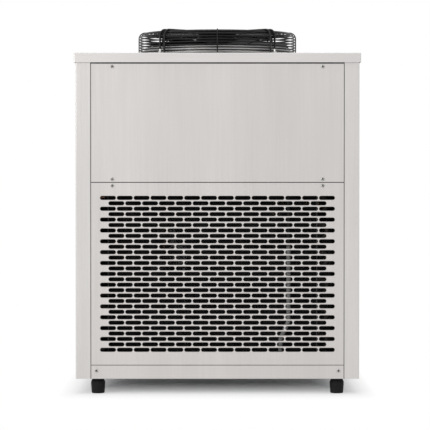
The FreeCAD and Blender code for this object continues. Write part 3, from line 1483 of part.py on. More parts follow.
# Main switch: a moulded frame clipped into the back panel, and a rocker that
# tips on its pin
def make_switch():
    frame = new_body("switch_frame")
    sketch = new_sketch(frame, "XZ_Plane", minus(BACK))
    x = "switch_across"
    z = "control_height"
    rim_x = "(switch_width / 2 + switch_rim)"
    rim_z = "(switch_tall / 2 + switch_rim)"
    rectangle(sketch, f"{x} - {rim_x}", f"{z} - {rim_z}", f"{x} + {rim_x}", f"{z} + {rim_z}")
    pad(frame, sketch, "switch_frame", back=True)
    inner = new_sketch(frame, "XZ_Plane", minus(BACK))
    rectangle(inner, f"{x} - switch_width / 2", f"{z} - switch_tall / 2",
              f"{x} + switch_width / 2", f"{z} + switch_tall / 2")
    pad(frame, inner, "switch_depth")
    hollow = new_sketch(frame, "XZ_Plane", minus(f"({BACK} + switch_frame)"))
    rectangle(hollow, f"{x} - switch_hollow_width / 2", f"{z} - switch_hollow_tall / 2",
              f"{x} + switch_hollow_width / 2", f"{z} + switch_hollow_tall / 2")
    pocket(frame, hollow, "switch_hollow_depth", back=True)
    pivot = new_sketch(frame, "YZ_Plane", f"{x} + switch_width / 2")
    circle(pivot, f"{BACK} + switch_frame - rocker_pivot_depth", z, "rocker_pin + spindle_play")
    pocket(frame, pivot, "switch_width")
    rocker = new_body("rocker")
    sketch = new_sketch(rocker, "YZ_Plane", "0 - rocker_width / 2")
    slope = math.tan(math.radians(value("rocker_tilt")))
    rise = f"(rocker_tall / 2 * {slope:.6f})"
    outline(sketch, [
        ("rocker_pivot_depth - rocker_thickness", "0 - rocker_tall / 2"),
        (f"rocker_crown + {rise}", "0 - rocker_tall / 2"),
        ("rocker_crown", "0"),
        (f"rocker_crown + {rise}", "rocker_tall / 2"),
        ("rocker_pivot_depth - rocker_thickness", "rocker_tall / 2"),
    ])
    pad(rocker, sketch, "rocker_width")
    pin_sketch = new_sketch(rocker, "YZ_Plane", "0 - switch_width / 2")
    circle(pin_sketch, "0", "0", "rocker_pin")
    pad(rocker, pin_sketch, "switch_width")
    place(rocker, x, f"{BACK} + switch_frame - rocker_pivot_depth", z, (1, 0, 0), -value("rocker_tilt"))


# Electrical box: a folded steel enclosure behind the upper back panel
def make_electrical_box():
    case = new_body("electrical_box")
    back_face = f"({BACK} - panel_sheet)"
    sketch = new_sketch(case, "XZ_Plane", minus(back_face))
    rectangle(sketch, "0 - box_left", "box_bottom", "box_width - box_left", "box_bottom + box_height")
    pad(case, sketch, "box_depth")
    round_edges(case, "bend_radius", lambda edge: near(edge.BoundBox.YLength, "box_depth"))


def back_lower_cutouts(sketch):
    for x, z in (("port_across", "port_height"), (PORT_TWO, "port_height"), (PORT_TWO, "drain_height")):
        circle(sketch, x, z, "port_body_radius + hole_play")
    circle(sketch, "(0 - cable_across)", "cable_height", "cable_bush_radius + hole_play")


def back_upper_cutouts(sketch):
    rectangle(sketch, "control_across - control_body_width / 2 - control_play",
              "control_height - control_body_tall / 2 - control_play",
              "control_across + control_body_width / 2 + control_play",
              "control_height + control_body_tall / 2 + control_play")
    rectangle(sketch, "switch_across - switch_width / 2 - control_play",
              "control_height - switch_tall / 2 - control_play",
              "switch_across + switch_width / 2 + control_play",
              "control_height + switch_tall / 2 + control_play")


make_base_tray()
make_side_panel("left_side_panel", -1)
make_side_panel("right_side_panel", 1)
make_grille_panel()
make_panel("front_upper_panel", -1, UPPER_LOW, UPPER_HIGH,
           [("panel_screw_span", HIGH_SCREW_LEVEL), ("panel_screw_span", TOP_SCREW_LEVEL)])
make_panel("front_kick_strip", -1, "foot_height", "foot_height + kick_height",
           [("kick_screw_span", KICK_SCREW_LEVEL)])
make_panel("back_upper_panel", 1, UPPER_LOW, UPPER_HIGH,
           [("panel_screw_span", HIGH_SCREW_LEVEL), ("panel_screw_span", TOP_SCREW_LEVEL)],
           back_upper_cutouts)
make_panel("back_lower_panel", 1, "foot_height", GRILLE_HIGH,
           [("panel_screw_span", BACK_LOW_SCREW_LEVEL), ("panel_screw_span", LOW_SCREW_LEVEL)],
           back_lower_cutouts)
for side, end in ((-1, "front"), (1, "back")):
    make_rail(f"{end}_top_rail", side, "(cabinet_top - panel_sheet - rail_height)",
              "(cabinet_top - panel_sheet)", [TOP_SCREW_LEVEL])
    make_rail(f"{end}_middle_rail", side, f"({SEAM} - rail_height / 2)",
              f"({SEAM} + rail_height / 2)", [LOW_SCREW_LEVEL, HIGH_SCREW_LEVEL])
make_lid()
make_screws()
make_feet()
make_collar()
make_basket()
make_guard_fixings()
make_fan()
make_impeller()
make_condenser()
make_compressor()
make_tank()
make_pump()
make_exchanger()
make_pipes()
make_ports()
make_controller()
make_switch()
make_electrical_box()

INNER_OBJECTS = {"pan_head_screw", "rubber_foot", "foot_bolt", "foot_bolts", "guard_stud", "guard_nut",
                 "grommet", "mount_bolt", "compressor_bolts", "port_nut",
                 "riser_line", "drier_line", "feed_line"}
KEPT_TYPES = {"PartDesign::Body", "Part::Compound", "Part::Sweep"}

doc.recompute()
nodes = []
for item in doc.Objects:
    if "Invalid" in item.State or "Error" in item.State:
        raise RuntimeError(f"{item.Label} failed: {item.State}")
    if item.TypeId in KEPT_TYPES and item.Label not in INNER_OBJECTS:
        nodes.append(item)
nodes.append(doc.getObject("front_grille_panel"))
nodes.append(doc.getObject("fan_guard"))
for node in nodes:
    if node.Shape.isNull() or not node.Shape.isValid():
        raise RuntimeError(f"{node.Label} has no sound shape")
os.makedirs("parts", exist_ok=True)
for node in nodes:
    node.Shape.exportStep(f"parts/{node.Label}.step")
print(len(nodes), "nodes")
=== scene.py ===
import math
from functools import partial

import bmesh
import bpy
from mathutils import Matrix, Vector


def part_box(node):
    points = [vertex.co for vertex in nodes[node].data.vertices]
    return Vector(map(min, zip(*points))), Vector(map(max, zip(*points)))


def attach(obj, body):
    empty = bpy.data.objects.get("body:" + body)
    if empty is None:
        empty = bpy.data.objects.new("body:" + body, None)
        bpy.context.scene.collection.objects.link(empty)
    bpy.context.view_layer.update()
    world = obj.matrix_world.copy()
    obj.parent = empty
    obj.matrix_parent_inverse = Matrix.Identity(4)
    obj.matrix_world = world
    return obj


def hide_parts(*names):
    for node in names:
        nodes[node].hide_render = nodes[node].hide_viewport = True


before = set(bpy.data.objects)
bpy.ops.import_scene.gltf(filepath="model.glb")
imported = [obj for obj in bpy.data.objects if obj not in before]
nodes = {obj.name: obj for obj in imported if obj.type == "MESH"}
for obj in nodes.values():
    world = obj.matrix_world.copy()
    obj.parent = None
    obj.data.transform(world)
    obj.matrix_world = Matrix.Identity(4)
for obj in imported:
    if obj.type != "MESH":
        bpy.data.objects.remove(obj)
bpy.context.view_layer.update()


# Base tray, rails and inner brackets
# The tray and brackets are folded from galvanised sheet with a dull grey spangle.
# The rails are welded to the side panels behind the panels' seams; their near-black colour is
# painted shade in the seams.
NOISE_LOW = 0.3
NOISE_HIGH = 0.7
CLOUD_DETAIL = 4
GRAIN_DETAIL = 3
RELIEF_DEPTH = 0.0004
GLOSS_SPREAD = 0.06
SPANGLE_SCALE = 110
SPANGLE_SHARE = 0.16


def shader_group(name, inputs, outputs):
    """A shader node group with its sockets, and its input and output nodes."""
    tree = bpy.data.node_groups.new(name, "ShaderNodeTree")
    for label, kind, start in inputs:
        socket = tree.interface.new_socket(label, in_out="INPUT", socket_type=kind)
        socket.default_value = start
    for label, kind in outputs:
        tree.interface.new_socket(label, in_out="OUTPUT", socket_type=kind)
    return tree, tree.nodes.new("NodeGroupInput"), tree.nodes.new("NodeGroupOutput")


def feed(tree, source, socket):
    """Link a socket to its source, or set it to a plain value."""
    if isinstance(source, bpy.types.NodeSocket):
        tree.links.new(source, socket)
    else:
        socket.default_value = source


def add(tree, kind, sockets, **settings):
    """A node with its own settings made, and its sockets linked or set."""
    node = tree.nodes.new(kind)
    for label, choice in settings.items():
        setattr(node, label, choice)
    for label, source in sockets.items():
        feed(tree, source, node.inputs[label])
    return node


def calc(tree, operation, first, second=0.0):
    """The result of a maths node."""
    return add(tree, "ShaderNodeMath", {0: first, 1: second}, operation=operation).outputs[0]


def vector_calc(tree, operation, first, second=(0, 0, 0)):
    """The result of a vector maths node."""
    node = add(tree, "ShaderNodeVectorMath", {0: first, 1: second}, operation=operation)
    return node.outputs["Vector"]


def scaled(tree, colour, share):
    """A colour made lighter or darker."""
    node = add(tree, "ShaderNodeVectorMath", {0: colour, "Scale": share}, operation="SCALE")
    return node.outputs["Vector"]


def spread(tree, source, from_low, from_high, to_low=0.0, to_high=1.0):
    """A value mapped from one range to another, and kept within it."""
    return add(tree, "ShaderNodeMapRange", {
        "Value": source, "From Min": from_low, "From Max": from_high, "To Min": to_low,
        "To Max": to_high}).outputs["Result"]


def object_place(tree):
    """The shaded point's place on its object."""
    return tree.nodes.new("ShaderNodeTexCoord").outputs["Object"]


def axes(tree, source):
    """The X, Y and Z sockets of a vector."""
    return add(tree, "ShaderNodeSeparateXYZ", {0: source}).outputs


def cloud_tone_group():
    """Colour that drifts lighter and darker in soft patches."""
    tree, given, result = shader_group(
        "cloud_tone",
        [("Color", "NodeSocketColor", (0.5, 0.5, 0.5, 1)), ("Scale", "NodeSocketFloat", 6.0),
         ("Amount", "NodeSocketFloat", 0.1)],
        [("Color", "NodeSocketColor")])
    amount = given.outputs["Amount"]
    cloud = add(tree, "ShaderNodeTexNoise", {
        "Vector": object_place(tree), "Scale": given.outputs["Scale"], "Detail": CLOUD_DETAIL})
    tone = spread(tree, cloud.outputs["Fac"], NOISE_LOW, NOISE_HIGH,
                  calc(tree, "SUBTRACT", 1.0, amount), calc(tree, "ADD", 1.0, amount))
    feed(tree, scaled(tree, given.outputs["Color"], tone), result.inputs["Color"])
    return tree


def fine_bump_group():
    """A normal that is roughened by fine noise, stretched by a vector along the grain."""
    tree, given, result = shader_group(
        "fine_bump",
        [("Stretch", "NodeSocketVector", (1, 1, 1)), ("Height", "NodeSocketFloat", 0.1)],
        [("Normal", "NodeSocketVector"), ("Grain", "NodeSocketFloat")])
    stretched = vector_calc(tree, "MULTIPLY", object_place(tree), given.outputs["Stretch"])
    grain = add(tree, "ShaderNodeTexNoise", {
        "Vector": stretched, "Scale": 1, "Detail": GRAIN_DETAIL}).outputs["Fac"]
    bump = add(tree, "ShaderNodeBump", {
        "Height": grain, "Strength": given.outputs["Height"], "Distance": RELIEF_DEPTH})
    feed(tree, bump.outputs["Normal"], result.inputs["Normal"])
    feed(tree, grain, result.inputs["Grain"])
    return tree


cloud_tone = cloud_tone_group()
fine_bump = fine_bump_group()


def group_node(tree, group, **sockets):
    """A node that runs a shader group."""
    return add(tree, "ShaderNodeGroup", sockets, node_tree=group)


def finish(name, colour, metallic, roughness, stretch=(300, 300, 300), bump=0.1, drift=0.06,
           drift_scale=6.0, coat=0.0, specular=0.5):
    """A surface with soft drift in its colour, and grain in its gloss and its relief."""
    material = bpy.data.materials.new(name)
    material.use_nodes = True
    tree = material.node_tree
    tone = group_node(tree, cloud_tone, Color=(*colour, 1), Scale=drift_scale, Amount=drift)
    relief = group_node(tree, fine_bump, Stretch=stretch, Height=bump)
    gloss = spread(tree, relief.outputs["Grain"], NOISE_LOW, NOISE_HIGH,
                   roughness - GLOSS_SPREAD, roughness + GLOSS_SPREAD)
    for label, source in (("Metallic", metallic), ("Coat Weight", coat),
                          ("Specular IOR Level", specular), ("Base Color", tone.outputs["Color"]),
                          ("Roughness", gloss), ("Normal", relief.outputs["Normal"])):
        feed(tree, source, tree.nodes["Principled BSDF"].inputs[label])
    return material


def recoloured(material, share, colour, blend="MIX"):
    """Mix a surface's colour with another one, by a mask or a plain share."""
    tree = material.node_tree
    base = tree.nodes["Principled BSDF"].inputs["Base Color"]
    mix = add(tree, "ShaderNodeMixRGB", {"Fac": share, 1: base.links[0].from_socket, 2: colour},
              blend_type=blend)
    feed(tree, mix.outputs["Color"], base)


def galvanised_steel():
    """Zinc-coated sheet: flat spangle cells that differ a little in tone."""
    material = finish("galvanised_sheet", (0.56, 0.57, 0.58), 0.85, 0.42, drift=0.05)
    tree = material.node_tree
    spangle = add(tree, "ShaderNodeTexVoronoi", {
        "Vector": object_place(tree), "Scale": SPANGLE_SCALE})
    recoloured(material, SPANGLE_SHARE, spangle.outputs["Color"], "MULTIPLY")
    return material


def painted(names, material):
    """Give CAD nodes a material in place of the plain one they came with."""
    for name in names:
        nodes[name].data.materials.clear()
        nodes[name].data.materials.append(material)


galvanised = galvanised_steel()
# Near-black rails: painted shade seen through the panels' seams.
rail_paint = finish("rail_paint", (0.016, 0.016, 0.017), 0.0, 0.6, bump=0.08, drift=0.15,
                    specular=0.2)
painted(["base_tray", "exchanger_stand", "electrical_box"], galvanised)
painted(["front_top_rail", "front_middle_rail", "back_top_rail", "back_middle_rail"], rail_paint)


# Rubber feet
# Four moulded feet of black rubber, each a slightly tapered plug with a coned
# shoulder, bolted up into the tray through a sunk bore.
FOOT_X = 0.275
FOOT_Y = 0.245
FOOT_PROFILE = [(0.0044, 0.020), (0.0076, 0.020), (0.0076, 0.0), (0.01276, 0.0),
                (0.01386, 0.0003), (0.01467, 0.0011), (0.01495, 0.00204), (0.01650, 0.02261),
                (0.01646, 0.02481), (0.01602, 0.02698), (0.01519, 0.02902), (0.0121, 0.0350),
                (0.0044, 0.0350)]
POINT_MERGE = 1e-7
SMOOTH_ANGLE = math.radians(35)


def turned(name, profile, steps=64, centre=(0, 0, 0)):
    """A closed mesh lathed about +Z from a closed profile of (radius, height)."""
    shape = bmesh.new()
    rings = []
    for step in range(steps):
        angle = 2 * math.pi * step / steps
        across, along = math.cos(angle), math.sin(angle)
        ring = [shape.verts.new((r * across, r * along, z)) for r, z in profile]
        rings.append(ring)
    for step in range(steps):
        here, after = rings[step], rings[(step + 1) % steps]
        for index in range(len(profile)):
            other = (index + 1) % len(profile)
            if profile[index][0] > 0 or profile[other][0] > 0:
                shape.faces.new((here[index], after[index], after[other], here[other]))
    bmesh.ops.remove_doubles(shape, verts=shape.verts, dist=POINT_MERGE)
    bmesh.ops.recalc_face_normals(shape, faces=shape.faces)
    bmesh.ops.translate(shape, verts=shape.verts, vec=centre)
    return mesh_object(name, shape)


def placed(name, data):
    """An object in the scene for a mesh, a lamp or a camera."""
    made = bpy.data.objects.new(name, data)
    bpy.context.scene.collection.objects.link(made)
    return made


def smooth_mesh(name, shape):
    """A mesh with smooth faces made from a bmesh, which is freed."""
    mesh = bpy.data.meshes.new(name)
    shape.to_mesh(mesh)
    shape.free()
    mesh.polygons.foreach_set("use_smooth", [True] * len(mesh.polygons))
    return mesh


def mesh_object(name, shape):
    """An object for a bmesh, smooth except where its faces meet at more than an angle."""
    mesh = smooth_mesh(name, shape)
    mesh.set_sharp_from_angle(angle=SMOOTH_ANGLE)
    return placed(name, mesh)


def joined(name, pieces):
    """One mesh object made of several, which are removed."""
    shape = bmesh.new()
    for piece in pieces:
        shape.from_mesh(piece.data)
        bpy.data.objects.remove(piece)
    return mesh_object(name, shape)


def fitted(piece, body, slot, material, *stands_for):
    """Give a piece its material, body and the CAD nodes that it stands for; the slot is not used.
    """
    if material:
        piece.data.materials.clear()
        piece.data.materials.append(material)
    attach(piece, body)
    if stands_for:
        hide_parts(*stands_for)
    return piece


rubber = finish("moulded_rubber", (0.005, 0.005, 0.0053), 0.0, 0.65, stretch=(900, 900, 900),
                bump=0.25, drift=0.25, drift_scale=40, specular=0.2)
feet = [turned(f"foot_{side}_{along}", FOOT_PROFILE, centre=(side * FOOT_X, along * FOOT_Y, 0))
        for side in (-1, 1) for along in (-1, 1)]
fitted(joined("moulded_feet", feet), "cabinet", "foot_rubber", rubber, "rubber_feet")
painted(["compressor_grommets"], rubber)


# Refrigeration set
# A black enamelled compressor on a plate, drawn copper pipes, and the brazed
# plate exchanger of stainless steel, all bolted to the tray.
FACET_MERGE = 2e-6
FLAT_ANGLE = math.radians(0.4)
SHARP_ANGLE = math.radians(30)
TAPE_FROM = 0.332
TAPE_FULL = 0.346
TAPE_BLACK = (0.006, 0.006, 0.006, 1)


def softened(node, name, slot, material, width=0.0, body="cabinet"):
    """A copy of a CAD node with its facets joined, its curves smooth and its corners eased."""
    shape = bmesh.new()
    shape.from_mesh(nodes[node].data)
    bmesh.ops.remove_doubles(shape, verts=shape.verts, dist=FACET_MERGE)
    bmesh.ops.dissolve_limit(shape, angle_limit=FLAT_ANGLE, verts=shape.verts, edges=shape.edges)
    if width:
        sharp = [edge for edge in shape.edges
                 if len(edge.link_faces) == 2 and edge.calc_face_angle() > SHARP_ANGLE]
        bmesh.ops.bevel(shape, geom=sharp, offset=width, segments=2, profile=0.6, affect="EDGES",
                        clamp_overlap=True)
    return fitted(mesh_object(name, shape), body, slot, material, node)


enamel = finish("black_enamel", (0.016, 0.016, 0.018), 0.0, 0.32, stretch=(260, 260, 260),
                bump=0.06, drift=0.2, coat=0.2)
copper = finish("copper_pipe", (0.42, 0.23, 0.16), 0.9, 0.42, stretch=(240, 240, 240), bump=0.05,
                drift=0.22, drift_scale=18)


def taped_line_paint():
    """Pale paint on the liquid line, with black tape wound round it from a level upwards."""
    material = finish("line_paint", (0.20, 0.20, 0.195), 0.0, 0.5, bump=0.05, drift=0.25,
                      drift_scale=30, specular=0.15)
    tree = material.node_tree
    level = axes(tree, object_place(tree))["Z"]
    recoloured(material, spread(tree, level, TAPE_FROM, TAPE_FULL), TAPE_BLACK)
    return material


line_paint = taped_line_paint()
foam = finish("foam_insulation", (0.025, 0.025, 0.026), 0.0, 0.85, stretch=(700, 700, 700),
              bump=0.6, drift=0.2)
vessel_steel = finish("vessel_steel", (0.60, 0.60, 0.59), 1.0, 0.32, stretch=(20, 20, 600),
                      bump=0.04, drift=0.06)
softened("compressor", "compressor_shell", "compressor_paint", enamel)
softened("filter_drier", "drier_shell", "compressor_paint", enamel)
softened("terminal_cover", "terminal_cap", "compressor_paint", enamel, width=0.0015)
softened("plate_exchanger", "brazed_exchanger", "stainless_vessel", vessel_steel, width=0.0015)
# Condenser tubes darkened partly by dust and partly as painted shade inside the cabinet.
dust_and_shade_copper = finish("dust_and_shade_copper", (0.05, 0.042, 0.038), 0.3, 0.7, bump=0.1, drift=0.3,
                      drift_scale=40, specular=0.2)
painted(["discharge_line"], copper)
painted(["condenser_tubes"], dust_and_shade_copper)
painted(["liquid_line"], line_paint)
painted(["suction_line"], foam)


# Condenser fins
# A pack of thin aluminium plates threaded on the tubes, a few millimetres apart,
# dark with dust and shade where it shows through the grille.
FIN_PITCH = 0.0024
FIN_SHEET = 0.00025


def geometry_tree(name, inputs):
    """A geometry node tree with named inputs, and its input and output nodes."""
    tree = bpy.data.node_groups.new(name, "GeometryNodeTree")
    tree.interface.new_socket("Geometry", in_out="INPUT", socket_type="NodeSocketGeometry")
    for label, kind in inputs:
        tree.interface.new_socket(label, in_out="INPUT", socket_type=kind)
    tree.interface.new_socket("Geometry", in_out="OUTPUT", socket_type="NodeSocketGeometry")
    return tree, tree.nodes.new("NodeGroupInput"), tree.nodes.new("NodeGroupOutput")


def vector(tree, x, y, z):
    """A vector put together from sockets or plain numbers."""
    return add(tree, "ShaderNodeCombineXYZ", {0: x, 1: y, 2: z}).outputs[0]


def end_tree(tree, geometry, result, material):
    """Close a tree: real meshes in place of instances, and the material."""
    real = add(tree, "GeometryNodeRealizeInstances", {0: geometry})
    coated = add(tree, "GeometryNodeSetMaterial", {0: real.outputs[0], "Material": material})
    feed(tree, coated.outputs["Geometry"], result.inputs["Geometry"])


def grown(name, tree, settings, base=None):
    """Run a geometry tree on a mesh and keep the result as a plain mesh object."""
    carrier = placed(name + "_base", base or bpy.data.meshes.new(name + "_base"))
    modifier = carrier.modifiers.new("grow", "NODES")
    modifier.node_group = tree
    for item in tree.interface.items_tree:
        if item.in_out == "INPUT" and item.name in settings:
            modifier[item.identifier] = settings[item.name]
    bpy.context.view_layer.update()
    graph = bpy.context.evaluated_depsgraph_get()
    mesh = bpy.data.meshes.new_from_object(carrier.evaluated_get(graph), depsgraph=graph)
    bpy.data.objects.remove(carrier)
    mesh.name = name
    return placed(name, mesh)


def fin_pack_tree(material):
    """Thin upright plates in a row along X, a pitch apart."""
    tree, given, result = geometry_tree("fin_pack", [
        ("Fins", "NodeSocketInt"), ("Pitch", "NodeSocketFloat"), ("Plate", "NodeSocketVector"),
        ("First", "NodeSocketVector")])
    sizes = given.outputs
    line = add(tree, "GeometryNodeMeshLine", {
        "Count": sizes["Fins"], "Start Location": sizes["First"],
        "Offset": vector(tree, sizes["Pitch"], 0, 0)})
    plate = add(tree, "GeometryNodeMeshCube", {"Size": sizes["Plate"]})
    copies = add(tree, "GeometryNodeInstanceOnPoints", {
        "Points": line.outputs["Mesh"], "Instance": plate.outputs["Mesh"]})
    end_tree(tree, copies.outputs["Instances"], result, material)
    return tree


# Near-black condenser plates: painted shade inside the cabinet.
shaded_plate_paint = finish("shaded_plate_paint", (0.09, 0.09, 0.095), 0.3, 0.6, bump=0.08, drift=0.2,
                     specular=0.2)
painted(["condenser_left_plate", "condenser_right_plate"], shaded_plate_paint)
fin_metal = finish("fin_aluminium", (0.05, 0.05, 0.051), 0.3, 0.6, stretch=(60, 60, 60),
                   bump=0.05, drift=0.3, drift_scale=25, specular=0.2)
fin_low, fin_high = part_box("condenser_fins")
fin_room = fin_high - fin_low
fin_middle = (fin_low + fin_high) / 2
fin_reach = fin_room.x - FIN_SHEET
fin_count = int(fin_reach / FIN_PITCH) + 1
fins = grown("thin_fins", fin_pack_tree(fin_metal), {
    "Fins": fin_count, "Pitch": fin_reach / (fin_count - 1),
    "Plate": (FIN_SHEET, fin_room.y, fin_room.z),
    "First": (fin_low.x + FIN_SHEET / 2, fin_middle.y, fin_middle.z)})
fitted(fins, "cabinet", "fin_aluminium", None, "condenser_fins")


# Water set
# A folded and welded stainless tank with a flat lid, a small pump with its
# motor in grey-blue enamel, and black rubber hoses pushed over the spouts.
pump_enamel = finish("pump_enamel", (0.09, 0.11, 0.13), 0.1, 0.4, stretch=(420, 420, 420),
                     bump=0.2, drift=0.12)
hose_skin = finish("hose_skin", (0.02, 0.02, 0.021), 0.0, 0.6, stretch=(500, 500, 500), bump=0.2,
                   drift=0.2)
# The tank and its lid are near-black as painted shade inside the cabinet.
shaded_vessel = finish("shaded_vessel", (0.06, 0.06, 0.058), 0.4, 0.6, stretch=(20, 20, 600),
                     bump=0.04, drift=0.2, specular=0.2)
painted(["water_tank", "tank_lid"], shaded_vessel)
softened("pump_volute", "volute_casting", "pump_casting", pump_enamel)
softened("pump_motor", "motor_casting", "pump_casting", pump_enamel)
painted(["pump_suction_hose", "pump_delivery_hose", "supply_hose", "return_hose", "drain_hose"],
        hose_skin)


# Cabinet panels
# Satin stainless-steel sheet, folded and punched, with the grain of the brushing, a painted
# sheen in broad soft bands, painted shade along its edges and slot rims, and painted shade on its
# inside faces.
EDGE_WIDTH = 0.0005
# Dark painted shade along the panels' edges, where the seams between them fall into shade.
SEAM_PAINTED_SHADE = (0.03, 0.029, 0.028, 1)
LID_GAP_SHADE = 0.0004
# Near-black painted shade on every face inside the cabinet's skin.
INSIDE_PAINTED_SHADE = (0.012, 0.012, 0.012, 1)
SHEET_METALLIC = 0.6
LINE_CONTRAST = 0.025
SHEEN_BAND_CONTRAST = 0.03
UPRIGHT_GRAIN = (700, 700, 7)
LEVEL_GRAIN = (7, 7, 700)
UPRIGHT_SHEEN_BANDS = (12, 12, 0.7)
LEVEL_SHEEN_BANDS = (4, 4, 4)
CABINET_SKIN = (0.3242, 0.2742, 1.0)
LID_SKIN = (0.3275, 0.2775, 0.7811)
SLOT_FIELD = {"Middle Level": 0.27585, "Rows": 29, "Across": 14, "Pitch": 0.03858,
              "Row Pitch": 0.01244, "Length": 0.0358, "Height": 0.0088, "Rim Shade": 0.0008}


def inside_shade_mask_group():
    """A mask of painted shade, 1 on every face inside the cabinet's outer skin."""
    tree, given, result = shader_group(
        "inside_shade_mask", [("Skin", "NodeSocketVector", CABINET_SKIN)],
        [("Mask", "NodeSocketFloat")])
    off = vector_calc(tree, "ABSOLUTE", object_place(tree))
    depth = axes(tree, vector_calc(tree, "SUBTRACT", given.outputs["Skin"], off))
    nearest = calc(tree, "MINIMUM", calc(tree, "MINIMUM", depth["X"], depth["Y"]), depth["Z"])
    feed(tree, calc(tree, "GREATER_THAN", nearest, 0.0), result.inputs["Mask"])
    return tree


def rim_mask(tree, clear, width):
    """1 at a rim and beyond it, and less away from it until 0 at a width."""
    share = calc(tree, "MAXIMUM", calc(tree, "DIVIDE", clear, width), 0.0)
    return calc(tree, "SUBTRACT", 1.0, calc(tree, "MINIMUM", share, 1.0))


def sheet_edge_shade_group():
    """A mask of painted shade that rises to 1 along the four edges of an upright sheet."""
    tree, given, result = shader_group(
        "sheet_edge_shade",
        [("Middle", "NodeSocketVector", (0, 0, 0)), ("Half", "NodeSocketVector", (1, 1, 1)),
         ("Width", "NodeSocketFloat", EDGE_WIDTH)],
        [("Mask", "NodeSocketFloat")])
    sizes = given.outputs
    off = vector_calc(tree, "SUBTRACT", object_place(tree), sizes["Middle"])
    off = vector_calc(tree, "ABSOLUTE", off)
    room = axes(tree, vector_calc(tree, "SUBTRACT", sizes["Half"], off))
    nearest = calc(tree, "MINIMUM", room["X"], room["Z"])
    feed(tree, rim_mask(tree, nearest, sizes["Width"]), result.inputs["Mask"])
    return tree


def slot_rim_shade_group():
    """A mask of painted shade that rises to 1 at the rolled rim of each slot in a staggered field
    of slots.
    """
    tree, given, result = shader_group(
        "slot_rim_shade",
        [(label, "NodeSocketFloat", start) for label, start in SLOT_FIELD.items()],
        [("Mask", "NodeSocketFloat")])
    size = given.outputs
    maths = partial(calc, tree)
    place = axes(tree, object_place(tree))

    def kept_within(source, limit):
        """A value held between a limit and its negative."""
        return maths("MAXIMUM", maths("MINIMUM", source, limit), maths("MULTIPLY", limit, -1.0))

    level = maths("SUBTRACT", place["Z"], size["Middle Level"])
    last_row = maths("MULTIPLY", maths("SUBTRACT", size["Rows"], 1.0), 0.5)
    row = kept_within(maths("ROUND", maths("DIVIDE", level, size["Row Pitch"])), last_row)
    odd = maths("MODULO", maths("ABSOLUTE", row), 2.0)
    start = maths("MULTIPLY", maths("SUBTRACT", 1.0, odd), 0.5)
    reach = maths("SUBTRACT", maths("SUBTRACT", size["Across"], 1.0), odd)
    column = maths("SUBTRACT", maths("DIVIDE", place["X"], size["Pitch"]), start)
    column = maths("ADD", maths("ROUND", column), start)
    column = kept_within(column, maths("MULTIPLY", reach, 0.5))
    off_x = maths("SUBTRACT", place["X"], maths("MULTIPLY", column, size["Pitch"]))
    off_z = maths("SUBTRACT", level, maths("MULTIPLY", row, size["Row Pitch"]))
    straight = maths("MULTIPLY", maths("SUBTRACT", size["Length"], size["Height"]), 0.5)
    past = maths("MAXIMUM", maths("SUBTRACT", maths("ABSOLUTE", off_x), straight), 0.0)
    squares = maths("ADD", maths("MULTIPLY", past, past), maths("MULTIPLY", off_z, off_z))
    clear = maths("SUBTRACT", maths("SQRT", squares), maths("MULTIPLY", size["Height"], 0.5))
    feed(tree, rim_mask(tree, clear, size["Rim Shade"]), result.inputs["Mask"])
    return tree


inside_shade_mask = inside_shade_mask_group()
sheet_edge_shade = sheet_edge_shade_group()
slot_rim_shade = slot_rim_shade_group()


def painted_shade_at(material, group, **settings):
    """Paint shade into a sheet's colour where a group's mask marks its cut edges."""
    marks = group_node(material.node_tree, group, **settings)
    recoloured(material, marks.outputs["Mask"], SEAM_PAINTED_SHADE)


def edge_shaded(node, lid_gap=0.0):
    """A copy of the panels' material with painted shade along the edges of one CAD node's sheet.
    """
    low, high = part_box(node)
    high.z -= lid_gap
    own = panel_steel.copy()
    own.name = node + "_steel"
    painted_shade_at(own, sheet_edge_shade, Middle=(low + high) / 2, Half=(high - low) / 2, Width=EDGE_WIDTH)
    painted([node], own)
    return own


def brushed_sheet(name, colour, grain, sheen_bands, skin):
    """Satin steel with brushing lines, a painted sheen in broad bands, and painted shade within
    the skin's half sizes.
    """
    material = finish(name, colour, SHEET_METALLIC, 0.4, stretch=grain, bump=0.03, drift=0.014,
                      drift_scale=3.0)
    tree = material.node_tree
    surface = tree.nodes["Principled BSDF"].inputs
    # The broad bands are a painted sheen across the sheet; the fine lines are the brushing's
    # grain.
    for stretch, contrast in ((grain, LINE_CONTRAST), (sheen_bands, SHEEN_BAND_CONTRAST)):
        lines = group_node(tree, fine_bump, Stretch=stretch, Height=0.0)
        shade = spread(tree, lines.outputs["Grain"], NOISE_LOW, NOISE_HIGH, 1 - contrast,
                       1 + contrast)
        plain = surface["Base Color"].links[0].from_socket
        feed(tree, scaled(tree, plain, shade), surface["Base Color"])
    # Painted shade: every face inside the skin turns near-black and loses its metal.
    inner = group_node(tree, inside_shade_mask, Skin=skin).outputs["Mask"]
    recoloured(material, inner, INSIDE_PAINTED_SHADE)
    unshaded = calc(tree, "SUBTRACT", 1.0, inner)
    feed(tree, calc(tree, "MULTIPLY", unshaded, SHEET_METALLIC), surface["Metallic"])
    return material


panel_steel = brushed_sheet("panel_steel", (0.572, 0.547, 0.532), UPRIGHT_GRAIN, UPRIGHT_SHEEN_BANDS,
                            CABINET_SKIN)
# The posts and lid take lighter copies of the panel steel: partly a real difference between
# sheets, partly painted light, on the lid from above.
post_steel = brushed_sheet("post_steel", (0.59, 0.57, 0.555), UPRIGHT_GRAIN, UPRIGHT_SHEEN_BANDS,
                           CABINET_SKIN)
lid_steel = brushed_sheet("lid_steel", (0.60, 0.58, 0.57), LEVEL_GRAIN, LEVEL_SHEEN_BANDS, LID_SKIN)
# Each panel gets painted shade along its edges at the seams.
for upper in ("front_upper_panel", "back_upper_panel"):
    edge_shaded(upper, LID_GAP_SHADE)
for lower in ("front_kick_strip", "back_lower_panel"):
    edge_shaded(lower)
